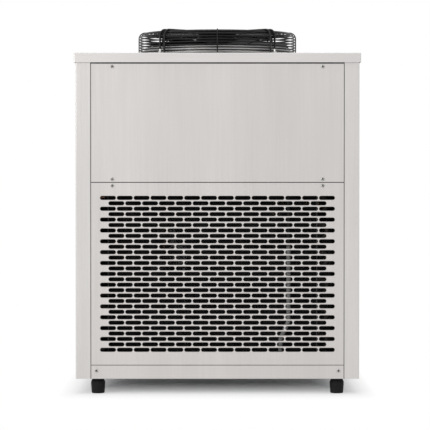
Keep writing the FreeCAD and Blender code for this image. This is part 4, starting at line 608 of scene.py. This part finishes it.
# The grille's slot rims get painted shade as well as its edges.
painted_shade_at(edge_shaded("front_grille_panel"), slot_rim_shade, **SLOT_FIELD)
painted(["left_side_panel", "right_side_panel"], post_steel)
painted(["top_lid"], lid_steel)


# Fan collar
# A spun ring of galvanised steel that stands up through the lid, with a thin
# flange welded down on it.
LID_TOP = 0.782
COLLAR_PROFILE = [(0.1748, 0.758), (0.1760, 0.758), (0.1760, LID_TOP), (0.1827, LID_TOP),
                  (0.1827, 0.7829), (0.1824, 0.7832), (0.1772, 0.7832), (0.1763, 0.7836),
                  (0.1760, 0.7845), (0.1760, 0.8034), (0.1757, 0.8040), (0.1751, 0.8040),
                  (0.1748, 0.8034)]
spun_steel = finish("spun_steel", (0.65, 0.64, 0.63), 0.6, 0.42, stretch=(40, 40, 900), bump=0.04,
                    drift=0.05)
collar = turned("spun_collar", COLLAR_PROFILE, steps=128)
fitted(collar, "cabinet", "galvanised_sheet", spun_steel, "fan_collar")


# Fan
# An external-rotor motor whose black can turns under the middle of the basket,
# with five pressed-steel sickle blades welded to a ring on the can.
ROTOR_TOP = 0.8309
ROTOR_HEIGHT = 0.068
ROTOR_RADIUS = 0.051
ROTOR_ROUND = 0.004
ROTOR_ROUND_STEPS = 6
SPINDLE_BORE = 0.01005
SPINDLE_LENGTH = 0.0544
SPINDLE_END_GAP = 0.002
HUB_SHEET = 0.0025
HUB_TOP = ROTOR_TOP - 0.008
HUB_HEIGHT = 0.054
BLADES = 5
BLADE_REST_TURN = math.radians(60)
BLADE_ROOT = ROTOR_RADIUS + 0.001
BLADE_TIP = 0.1715
BLADE_HALF_SHEET = 0.0011
BLADE_CAMBER = 0.007
BLADE_PLANES = (0.047, 0.11125, 0.1755)
BLADE_CHORDS = (0.078, 0.108, 0.128)
BLADE_PITCHES = (38.0, 28.0, 21.0)
BLADE_SWEEPS = (0.0, 0.012, 0.052)


def rotor_profile():
    """The can's outline, with its two outer corners rounded."""
    low = ROTOR_TOP - ROTOR_HEIGHT
    profile = [(0, low)]
    for corner_z, start in ((low + ROTOR_ROUND, -90), (ROTOR_TOP - ROTOR_ROUND, 0)):
        for step in range(ROTOR_ROUND_STEPS + 1):
            angle = math.radians(start + 90 * step / ROTOR_ROUND_STEPS)
            profile.append((ROTOR_RADIUS - ROTOR_ROUND + ROTOR_ROUND * math.cos(angle),
                            corner_z + ROTOR_ROUND * math.sin(angle)))
    floor = ROTOR_TOP - SPINDLE_LENGTH - SPINDLE_END_GAP
    profile.extend([(SPINDLE_BORE, ROTOR_TOP), (SPINDLE_BORE, floor), (0, floor)])
    return profile


def through_three(places, numbers, at):
    """The value at a place on the parabola through three values."""
    total = 0.0
    for index, number in enumerate(numbers):
        share = number
        for other in range(3):
            if other != index:
                share *= (at - places[other]) / (places[index] - places[other])
        total += share
    return total


def blade_point(radius, across, face):
    """A point of the blade: at a radius, across its chord from -1 to 1, on one face."""
    plane = radius
    for _ in range(12):
        chord = through_three(BLADE_PLANES, BLADE_CHORDS, plane)
        slope = math.radians(through_three(BLADE_PLANES, BLADE_PITCHES, plane))
        sweep = through_three(BLADE_PLANES, BLADE_SWEEPS, plane)
        bulge = BLADE_CAMBER * (1 - across * across) + face * BLADE_HALF_SHEET
        along = across * chord / 2
        y = sweep + along * math.cos(slope) - bulge * math.sin(slope)
        z = along * math.sin(slope) + bulge * math.cos(slope)
        plane = math.sqrt(max(radius * radius - y * y, 1e-6))
    return Vector((plane, y, HUB_TOP - HUB_HEIGHT / 2 + z))


def one_blade(rows=14, columns=12):
    """A closed thin sheet from the hub's ring to the blade's tip."""
    shape = bmesh.new()
    faces = []
    for face in (1, -1):
        grid = []
        for row in range(rows + 1):
            radius = BLADE_ROOT + (BLADE_TIP - BLADE_ROOT) * row / rows
            grid.append([shape.verts.new(blade_point(radius, 2 * column / columns - 1, face))
                         for column in range(columns + 1)])
        faces.append(grid)
    top, under = faces
    for row in range(rows):
        for column in range(columns):
            shape.faces.new((top[row][column], top[row + 1][column], top[row + 1][column + 1],
                             top[row][column + 1]))
            shape.faces.new((under[row][column], under[row][column + 1],
                             under[row + 1][column + 1], under[row + 1][column]))
    edge = [(row, 0) for row in range(rows)] + [(rows, column) for column in range(columns)]
    edge += [(row, columns) for row in range(rows, 0, -1)]
    edge += [(0, column) for column in range(columns, 0, -1)]
    for (row, column), (next_row, next_column) in zip(edge, edge[1:] + edge[:1]):
        shape.faces.new((top[row][column], under[row][column], under[next_row][next_column],
                         top[next_row][next_column]))
    bmesh.ops.recalc_face_normals(shape, faces=shape.faces)
    return shape


def copied_round(tree, given, instance):
    """Copies of a shape, spaced evenly round the fan's axis."""
    line = add(tree, "GeometryNodeMeshLine", {
        "Count": given.outputs["Copies"], "Offset": (0, 0, 0)})
    index = tree.nodes.new("GeometryNodeInputIndex").outputs[0]
    step = calc(tree, "DIVIDE", 2 * math.pi, given.outputs["Copies"])
    angle = calc(tree, "ADD", calc(tree, "MULTIPLY", index, step), given.outputs["First Turn"])
    return add(tree, "GeometryNodeInstanceOnPoints", {
        "Points": line.outputs["Mesh"], "Instance": instance,
        "Rotation": vector(tree, 0, 0, angle)}).outputs["Instances"]


def blade_ring_tree(material):
    """Copies of a blade round the fan's axis."""
    tree, given, result = geometry_tree("blade_ring", [
        ("Copies", "NodeSocketInt"), ("First Turn", "NodeSocketFloat")])
    end_tree(tree, copied_round(tree, given, given.outputs["Geometry"]), result, material)
    return tree


fan_paint = finish("fan_paint", (0.007, 0.007, 0.0075), 0.0, 0.4, stretch=(380, 380, 380),
                   bump=0.1, drift=0.25, drift_scale=20, specular=0.25)
fitted(turned("motor_can", rotor_profile(), steps=96), "fan", "fan_black", fan_paint, "fan_rotor")
blades = grown("sickle_blades", blade_ring_tree(fan_paint),
               {"Copies": BLADES, "First Turn": BLADE_REST_TURN},
               smooth_mesh("sickle_blade", one_blade()))
hub_low, hub_out = HUB_TOP - HUB_HEIGHT, ROTOR_RADIUS + HUB_SHEET
hub = turned("hub_ring", [(ROTOR_RADIUS, hub_low), (hub_out, hub_low), (hub_out, HUB_TOP),
                          (ROTOR_RADIUS, HUB_TOP)], steps=96)
fitted(joined("impeller", [blades, hub]), "fan", "fan_black", fan_paint, "fan_impeller")
painted(["fan_motor_stator"], fan_paint)


# Wire basket
# The fan's guard: rings of drawn wire welded inside four thin ribs and four
# doubled struts whose looped ends are the feet, all dipped in black powder coat.
BASKET_RADIUS = 0.1852
BASKET_HEIGHT = 0.0577
BASKET_BEND = 0.012
RING_WIRE = 0.0017
RIB_WIRE = 0.0014
STRUT_WIRE = 0.00225
WELD = 0.0003
FIRST_RING = 0.005
RING_PITCH = 0.00645
TOP_PITCH = 0.009
PLATE_RADIUS = 0.053
PLATE_SHEET = 0.0025
PLATE_CHAMFER = 0.0005
PLATE_RING_GAP = 0.006
RIB_OVERLAP = 0.003
RIB_TAIL = 0.003
STRUT_INNER = 0.024
STRUT_HALF_GAP = 0.007
STRUT_FOOT_BEND = 0.003
EYE_X = 0.134
EYE_Y = 0.1425
HOOP_SIDES = 112
WIRE_SIDES = 10
BEND_STEPS = 10


def basket_ring_tree(material):
    """Rings stepped up the basket's side, round its bend and in across its top."""
    lengths = ("Radius", "Height", "Bend", "First", "Pitch", "Top Pitch", "Wire", "Level")
    tree, given, result = geometry_tree("basket_rings", [
        ("Side Rings", "NodeSocketInt"), ("Top Rings", "NodeSocketInt"),
        *((label, "NodeSocketFloat") for label in lengths)])
    sizes = given.outputs
    maths = partial(calc, tree)
    index = tree.nodes.new("GeometryNodeInputIndex").outputs[0]
    reach = maths("ADD", sizes["First"], maths("MULTIPLY", index, sizes["Pitch"]))
    side = maths("SUBTRACT", sizes["Height"], sizes["Bend"])
    past = maths("MAXIMUM", maths("SUBTRACT", reach, side), 0.0)
    angle = maths("DIVIDE", past, sizes["Bend"])
    inward = maths("MULTIPLY", sizes["Bend"], maths("SUBTRACT", 1.0, maths("COSINE", angle)))
    rise = maths("MULTIPLY", sizes["Bend"], maths("SINE", angle))
    side_radius = maths("SUBTRACT", sizes["Radius"], inward)
    side_level = maths("ADD", maths("MINIMUM", reach, side), rise)
    crown = maths("SUBTRACT", sizes["Radius"], sizes["Bend"])
    steps = maths("MULTIPLY", maths("ADD", index, 0.5), sizes["Top Pitch"])
    top_radius = maths("SUBTRACT", crown, steps)
    hoop = add(tree, "GeometryNodeCurvePrimitiveCircle", {"Resolution": HOOP_SIDES, "Radius": 1})
    together = tree.nodes.new("GeometryNodeJoinGeometry")
    for count, radius, level in (("Side Rings", side_radius, side_level),
                                 ("Top Rings", top_radius, sizes["Height"])):
        line = add(tree, "GeometryNodeMeshLine", {"Count": sizes[count], "Offset": (0, 0, 0)})
        height = maths("ADD", level, sizes["Level"])
        moved = add(tree, "GeometryNodeSetPosition", {
            "Geometry": line.outputs["Mesh"], "Position": vector(tree, 0, 0, height)})
        rings = add(tree, "GeometryNodeInstanceOnPoints", {
            "Points": moved.outputs["Geometry"], "Instance": hoop.outputs["Curve"],
            "Scale": vector(tree, radius, radius, 1.0)})
        feed(tree, rings.outputs["Instances"], together.inputs["Geometry"])
    real = add(tree, "GeometryNodeRealizeInstances", {0: together.outputs["Geometry"]})
    end_tree(tree, round_wire(tree, real.outputs[0], sizes["Wire"]), result, material)
    return tree


def round_wire(tree, line, radius):
    """A round wire of a given radius along curves."""
    section = add(tree, "GeometryNodeCurvePrimitiveCircle", {
        "Resolution": WIRE_SIDES, "Radius": radius})
    swept = add(tree, "GeometryNodeCurveToMesh", {
        "Curve": line, "Profile Curve": section.outputs["Curve"], "Fill Caps": True})
    smooth = add(tree, "GeometryNodeSetShadeSmooth", {"Geometry": swept.outputs["Mesh"]})
    return smooth.outputs["Geometry"]


def bent_wire_tree(material):
    """A wire bent along a path, copied evenly round the fan's axis."""
    tree, given, result = geometry_tree("bent_wires", [
        ("Wire", "NodeSocketFloat"), ("Copies", "NodeSocketInt"),
        ("First Turn", "NodeSocketFloat")])
    path = add(tree, "GeometryNodeMeshToCurve", {"Mesh": given.outputs["Geometry"]})
    bends = add(tree, "GeometryNodeInputNamedAttribute", {"Name": "bend_radius"})
    rounded = add(tree, "GeometryNodeFilletCurve", {
        "Curve": path.outputs["Curve"], "Radius": bends.outputs["Attribute"],
        "Count": BEND_STEPS}, mode="POLY")
    wire = round_wire(tree, rounded.outputs["Curve"], given.outputs["Wire"])
    end_tree(tree, copied_round(tree, given, wire), result, material)
    return tree


def bent_path(name, stops):
    """A path of straight edges, each corner with the radius that it is bent to."""
    mesh = bpy.data.meshes.new(name)
    mesh.from_pydata([stop[:3] for stop in stops], [(i, i + 1) for i in range(len(stops) - 1)], [])
    bend = mesh.attributes.new("bend_radius", "FLOAT", "POINT")
    bend.data.foreach_set("value", [stop[3] for stop in stops])
    return mesh


powder_coat = finish("powder_coat", (0.007, 0.007, 0.0075), 0.0, 0.36, stretch=(900, 900, 900),
                     bump=0.12, drift=0.2, drift_scale=30, specular=0.25)
basket_side = BASKET_HEIGHT - BASKET_BEND + BASKET_BEND * math.pi / 2 - FIRST_RING
top_room = BASKET_RADIUS - BASKET_BEND - TOP_PITCH / 2 - PLATE_RADIUS - PLATE_RING_GAP
rings = grown("basket_hoops", basket_ring_tree(powder_coat), {
    "Side Rings": math.ceil(basket_side / RING_PITCH),
    "Top Rings": math.ceil(top_room / TOP_PITCH), "Radius": BASKET_RADIUS,
    "Height": BASKET_HEIGHT, "Bend": BASKET_BEND, "First": FIRST_RING, "Pitch": RING_PITCH,
    "Top Pitch": TOP_PITCH, "Wire": RING_WIRE, "Level": LID_TOP})
wire_tree = bent_wire_tree(powder_coat)
rib_clear = RING_WIRE - WELD + RIB_WIRE
rib_out = BASKET_RADIUS + rib_clear
rib_top = LID_TOP + BASKET_HEIGHT + rib_clear
rib_path = bent_path("rib_path", [
    (PLATE_RADIUS - RIB_OVERLAP, 0, rib_top, 0), (rib_out, 0, rib_top, BASKET_BEND + rib_clear),
    (rib_out, 0, LID_TOP + RIB_TAIL, 0)])
ribs = grown("basket_ribs", wire_tree, {"Wire": RIB_WIRE, "Copies": 4, "First Turn": 0.0},
             rib_path)
strut_clear = RING_WIRE - WELD + STRUT_WIRE
strut_out = BASKET_RADIUS + strut_clear
strut_top = LID_TOP + BASKET_HEIGHT + strut_clear
strut_low = LID_TOP + STRUT_WIRE
near_stops = [
    (STRUT_INNER, -STRUT_HALF_GAP, strut_top, 0),
    (strut_out, -STRUT_HALF_GAP, strut_top, BASKET_BEND + strut_clear),
    (strut_out, -STRUT_HALF_GAP, strut_low, STRUT_FOOT_BEND),
    (math.hypot(EYE_X, EYE_Y) + STRUT_HALF_GAP, -STRUT_HALF_GAP, strut_low, STRUT_HALF_GAP)]
far_stops = [(x, -y, z, bend) for x, y, z, bend in reversed(near_stops)]
strut_turn = math.atan2(EYE_Y, EYE_X)
struts = []
for name, turn in (("right_struts", strut_turn), ("left_struts", math.pi - strut_turn)):
    strut_path = bent_path(name + "_path", near_stops + far_stops)
    struts.append(grown(name, wire_tree, {"Wire": STRUT_WIRE, "Copies": 2, "First Turn": turn},
                        strut_path))
plate_top = LID_TOP + BASKET_HEIGHT + RING_WIRE
plate_low = plate_top - PLATE_SHEET
plate_flat = PLATE_RADIUS - PLATE_CHAMFER
plate = turned("basket_plate", [
    (0, plate_low), (plate_flat, plate_low), (PLATE_RADIUS, plate_low + PLATE_CHAMFER),
    (PLATE_RADIUS, plate_top - PLATE_CHAMFER), (plate_flat, plate_top), (0, plate_top)], steps=96)
fitted(joined("wire_basket", [rings, ribs, *struts, plate]), "cabinet", "black_wire", powder_coat,
       "fan_guard")


# Screws, studs and nuts
# Zinc-plated fixings: pan heads with a cross recess that hold every panel, and
# flanged nuts on studs that clamp the basket's eyes to the lid.
HEAD_RADIUS = 0.004
HEAD_HEIGHT = 0.0024
HEAD_SIDE = 0.45
HEAD_FLAT = 0.55
DOME_STEPS = 5
SHANK_RADIUS = 0.00195
SCREW_LENGTH = 0.010
TIP_RADIUS = 0.0016
TIP_HEIGHT = 0.0006
RECESS_REACH = 0.0031
RECESS_HALF = 0.00085
RECESS_DEPTH = 0.0016
RECESS_LIP = 0.0004
RECESS_PAINTED_SHADE = (0.035, 0.035, 0.035, 1)
REACH_MARGIN = 1.05
DEPTH_MARGIN = 1.1
SCREW_SPIN = 0.7
FACE_Y = 0.275
PANEL_SPAN = 0.241
KICK_SPAN = 0.2774
LID_SCREW_X = 0.3285
LID_SCREW_Y = 0.180
MOTOR_SCREW = 0.030
SEAM_LEVELS = (0.4779, 0.4931, 0.7504)
BACK_LOW_LEVEL = 0.048
KICK_LEVEL = 0.0536
LID_SCREW_LEVEL = 0.771


def zinc_plate():
    """Bright zinc, with painted shade in the screws' recesses from the attribute that marks them.
    """
    material = finish("zinc_plate", (0.46, 0.46, 0.45), 0.9, 0.34, stretch=(500, 500, 500),
                      bump=0.05, drift=0.1, drift_scale=60)
    deep = add(material.node_tree, "ShaderNodeAttribute", {}, attribute_name="recess")
    # Painted shade in the cross recesses, where the recess attribute marks them.
    recoloured(material, deep.outputs["Fac"], RECESS_PAINTED_SHADE)
    return material


def screw_mesh():
    """A pan-head screw along +Z, its cross recess cut into a domed head."""
    profile = [(0, -SCREW_LENGTH), (TIP_RADIUS, -SCREW_LENGTH),
               (SHANK_RADIUS, TIP_HEIGHT - SCREW_LENGTH), (SHANK_RADIUS, 0), (HEAD_RADIUS, 0),
               (HEAD_RADIUS, HEAD_HEIGHT * HEAD_SIDE)]
    for step in range(1, DOME_STEPS + 1):
        angle = math.pi / 2 * step / DOME_STEPS
        profile.append((HEAD_RADIUS * (HEAD_FLAT + (1 - HEAD_FLAT) * math.cos(angle)),
                        HEAD_HEIGHT * (HEAD_SIDE + (1 - HEAD_SIDE) * math.sin(angle))))
    profile.append((0, HEAD_HEIGHT))
    head = turned("screw_head", profile, steps=24)
    for turn in (0, math.pi / 2):
        cutter_shape = bmesh.new()
        bmesh.ops.create_cube(cutter_shape, size=1)
        size = Matrix.Diagonal((2 * RECESS_REACH, 2 * RECESS_HALF, 2 * RECESS_DEPTH, 1))
        place = Matrix.Translation((0, 0, HEAD_HEIGHT)) @ Matrix.Rotation(turn, 4, "Z") @ size
        bmesh.ops.transform(cutter_shape, matrix=place, verts=cutter_shape.verts)
        cutter = mesh_object("recess_cutter", cutter_shape)
        bite = head.modifiers.new("recess", "BOOLEAN")
        bite.operation = "DIFFERENCE"
        bite.object = cutter
        graph = bpy.context.evaluated_depsgraph_get()
        cut = bpy.data.meshes.new_from_object(head.evaluated_get(graph), depsgraph=graph)
        head.modifiers.clear()
        head.data = cut
        bpy.data.objects.remove(cutter)
    mesh = head.data
    bpy.data.objects.remove(head)
    mesh.materials.clear()
    marks = mesh.attributes.new("recess", "FLOAT", "POINT")
    inside = []
    for vertex in mesh.vertices:
        reach = math.hypot(vertex.co.x, vertex.co.y)
        below = HEAD_HEIGHT - vertex.co.z
        inside.append(float(reach < REACH_MARGIN * RECESS_REACH
                            and RECESS_LIP < below < DEPTH_MARGIN * RECESS_DEPTH))
    marks.data.foreach_set("value", inside)
    return mesh


def screw_copies_tree(material, screw):
    """A copy of the screw at each point, turned by the point's own angles."""
    tree, given, result = geometry_tree("screw_copies", [])
    turn = add(tree, "GeometryNodeInputNamedAttribute", {"Name": "turn"}, data_type="FLOAT_VECTOR")
    source = add(tree, "GeometryNodeObjectInfo", {"Object": screw})
    copies = add(tree, "GeometryNodeInstanceOnPoints", {
        "Points": given.outputs["Geometry"], "Instance": source.outputs["Geometry"],
        "Rotation": turn.outputs["Attribute"]})
    end_tree(tree, copies.outputs["Instances"], result, material)
    return tree


quarter = math.pi / 2
screw_places = []
for side in (-1, 1):
    for level in SEAM_LEVELS:
        screw_places.append(((side * PANEL_SPAN, -FACE_Y, level), (quarter, 0, 0)))
        screw_places.append(((side * PANEL_SPAN, FACE_Y, level), (-quarter, 0, 0)))
    screw_places.append(((side * KICK_SPAN, -FACE_Y, KICK_LEVEL), (quarter, 0, 0)))
    screw_places.append(((side * PANEL_SPAN, FACE_Y, BACK_LOW_LEVEL), (-quarter, 0, 0)))
    for along in (-1, 1):
        screw_places.append(((side * LID_SCREW_X, along * LID_SCREW_Y, LID_SCREW_LEVEL),
                             (0, side * quarter, 0)))
    screw_places.append(((side * MOTOR_SCREW, 0, plate_top), (0, 0, 0)))
    screw_places.append(((0, side * MOTOR_SCREW, plate_top), (0, 0, 0)))
zinc = zinc_plate()
screw_points = bpy.data.meshes.new("screw_points")
screw_points.from_pydata([place for place, _ in screw_places], [], [])
turns = screw_points.attributes.new("turn", "FLOAT_VECTOR", "POINT")
for index, (_, turn) in enumerate(screw_places):
    spin = Matrix.Rotation(SCREW_SPIN * index, 3, "Z")
    whole = Matrix.Rotation(turn[0], 3, "X") @ Matrix.Rotation(turn[1], 3, "Y") @ spin
    turns.data[index].vector = whole.to_euler()
screw_source = bpy.data.objects.new("screw_source", screw_mesh())
screws = grown("panel_screws", screw_copies_tree(zinc, screw_source), {}, screw_points)
bpy.data.objects.remove(screw_source)
fitted(screws, "cabinet", "zinc_fixing", None, "pan_head_screws")
painted(["guard_studs", "guard_nuts", "mounting_bolts"], zinc)


# Water connections and cable gland
# Turned brass sockets that pass through the back panel, each with a hexagon
# nut behind, and a moulded bush for the mains cable.
brass = finish("turned_brass", (0.62, 0.46, 0.22), 1.0, 0.3, stretch=(60, 900, 60), bump=0.05,
               drift=0.08, drift_scale=20)
moulding = finish("black_moulding", (0.022, 0.022, 0.024), 0.0, 0.48, stretch=(1200, 1200, 1200),
                  bump=0.2, drift=0.1, drift_scale=12)
for port in ("outlet", "inlet", "drain"):
    softened(f"water_{port}_port", f"brass_{port}", "brass_fitting", brass, width=0.0004)
painted(["port_nuts", "expansion_valve"], brass)
softened("cable_bush", "cable_gland", "black_plastic", moulding, width=0.0005)


# Controls
# A moulded controller case with a dark window and four keys, and a rocker
# switch in its frame, both clipped into the back panel.
key_grey = finish("key_grey", (0.22, 0.23, 0.24), 0.0, 0.5, stretch=(1200, 1200, 1200), bump=0.15,
                  drift=0.05)
tinted = finish("tinted_window", (0.02, 0.004, 0.004), 0.0, 0.08, stretch=(10, 10, 10), bump=0.01,
                drift=0.05, coat=0.6)
softened("controller_case", "controller_moulding", "black_plastic", moulding, width=0.0005)
softened("switch_frame", "switch_moulding", "black_plastic", moulding, width=0.0004)
softened("rocker", "rocker_cap", "black_plastic", moulding, width=0.0004, body="switch_rocker")
softened("controller_window", "display_pane", "display_window", tinted, width=0.0002)
for key in ("upper_left", "upper_right", "lower_left", "lower_right"):
    softened(f"key_{key}", f"{key}_keycap", "grey_key", key_grey, width=0.0005, body=f"{key}_key")


# Studio
# A plain pale floor that keeps the shadow under the cabinet, whose soft fade is
# painted by the floor's glow; soft light from large lamps in front and above; and a white
# background.
CABINET_HALF_WIDTH = 0.325
CABINET_HALF_DEPTH = 0.275
FLOOR_HALF = 12.0
FLOOR_COLOUR = (0.9, 0.9, 0.9, 1)
FLOOR_ROUGHNESS = 0.6
SIDE_FADE = 3.0
BACK_FADE = 1.8
FADE_FROM = -0.32
FADE_TO = 0.12
FADE_POWER = 1.85
WORLD_LIGHT = 0.55
IMAGE_PIXELS = 430
FOCAL_PIXELS = 2358
SENSOR_MM = 36
CAMERA_PLACE = (-0.0056, -5.674, 0.520)
CAMERA_DIP = math.radians(1.159)
CAMERA_REACH = 50


def seen_rays(tree):
    """1 for rays that come from the camera, a gloss or a clear pane, and 0 for the rest."""
    rays = tree.nodes.new("ShaderNodeLightPath").outputs
    seen = calc(tree, "MAXIMUM", rays["Is Camera Ray"], rays["Is Glossy Ray"])
    return calc(tree, "MAXIMUM", seen, rays["Is Transmission Ray"])


def floor_material():
    """White to the camera, fading into a lit surface at the cabinet that holds its shadow, the
    fade painting the shadow's soft edge.
    """
    material = bpy.data.materials.new("studio_floor")
    material.use_nodes = True
    tree = material.node_tree
    maths = partial(calc, tree)
    surface = tree.nodes["Principled BSDF"]
    feed(tree, FLOOR_COLOUR, surface.inputs["Base Color"])
    feed(tree, FLOOR_ROUGHNESS, surface.inputs["Roughness"])
    glow = add(tree, "ShaderNodeEmission", {"Strength": 1.0})
    place = axes(tree, object_place(tree))
    over_x = maths("SUBTRACT", maths("ABSOLUTE", place["X"]), CABINET_HALF_WIDTH)
    over_x = maths("MULTIPLY", over_x, SIDE_FADE)
    front = maths("SUBTRACT", maths("MULTIPLY", place["Y"], -1.0), CABINET_HALF_DEPTH)
    back = maths("MULTIPLY", maths("SUBTRACT", place["Y"], CABINET_HALF_DEPTH), BACK_FADE)
    over_y = maths("MAXIMUM", front, back)
    squares = maths("ADD", maths("POWER", maths("MAXIMUM", over_x, 0.0), 2.0),
                    maths("POWER", maths("MAXIMUM", over_y, 0.0), 2.0))
    inside = maths("MINIMUM", maths("MAXIMUM", over_x, over_y), 0.0)
    away = maths("ADD", maths("SQRT", squares), inside)
    # Painted shadow: the glow thins towards the cabinet, shaping the fade of its soft shadow.
    painted_shadow_fade = maths("POWER", spread(tree, away, FADE_FROM, FADE_TO), FADE_POWER)
    blend = add(tree, "ShaderNodeMixShader", {
        "Fac": maths("MULTIPLY", painted_shadow_fade, seen_rays(tree)), 1: surface.outputs["BSDF"],
        2: glow.outputs["Emission"]})
    feed(tree, blend.outputs["Shader"], tree.nodes["Material Output"].inputs["Surface"])
    return material


floor_shape = bmesh.new()
bmesh.ops.create_grid(floor_shape, x_segments=1, y_segments=1, size=FLOOR_HALF)
floor = mesh_object("studio_floor", floor_shape)
floor.data.materials.append(floor_material())

world = bpy.data.worlds.new("studio_world")
bpy.context.scene.world = world
world.use_nodes = True
world_tree = world.node_tree
backdrop = world_tree.nodes["Background"]
backdrop.inputs["Color"].default_value = (1, 1, 1, 1)
extra = calc(world_tree, "MULTIPLY", seen_rays(world_tree), 1 - WORLD_LIGHT)
feed(world_tree, calc(world_tree, "ADD", extra, WORLD_LIGHT), backdrop.inputs["Strength"])


def soft_lamp(name, place, aim, size, power):
    """A large square lamp that faces a point."""
    lamp = bpy.data.lights.new(name, "AREA")
    lamp.shape = "SQUARE"
    lamp.size = size
    lamp.energy = power
    holder = placed(name, lamp)
    holder.location = place
    holder.rotation_euler = (Vector(aim) - Vector(place)).to_track_quat("-Z", "Y").to_euler()


soft_lamp("key_lamp", (-2.2, -2.6, 1.5), (-0.15, 0, 0.4), 1.5, 56)
soft_lamp("fill_lamp", (2.8, -3.0, 2.4), (0, 0, 0.6), 1.8, 16)
soft_lamp("top_lamp", (0, -0.3, 3.6), (0, 0, 0.4), 2.2, 20)

camera_data = bpy.data.cameras.new("camera")
camera_data.sensor_width = SENSOR_MM
camera_data.lens = SENSOR_MM * FOCAL_PIXELS / IMAGE_PIXELS
camera_data.clip_end = CAMERA_REACH
camera = placed("camera", camera_data)
camera.location = CAMERA_PLACE
camera.rotation_euler = (math.pi / 2 - CAMERA_DIP, 0, 0)
bpy.context.scene.camera = camera
bpy.context.scene.view_settings.view_transform = "Standard"
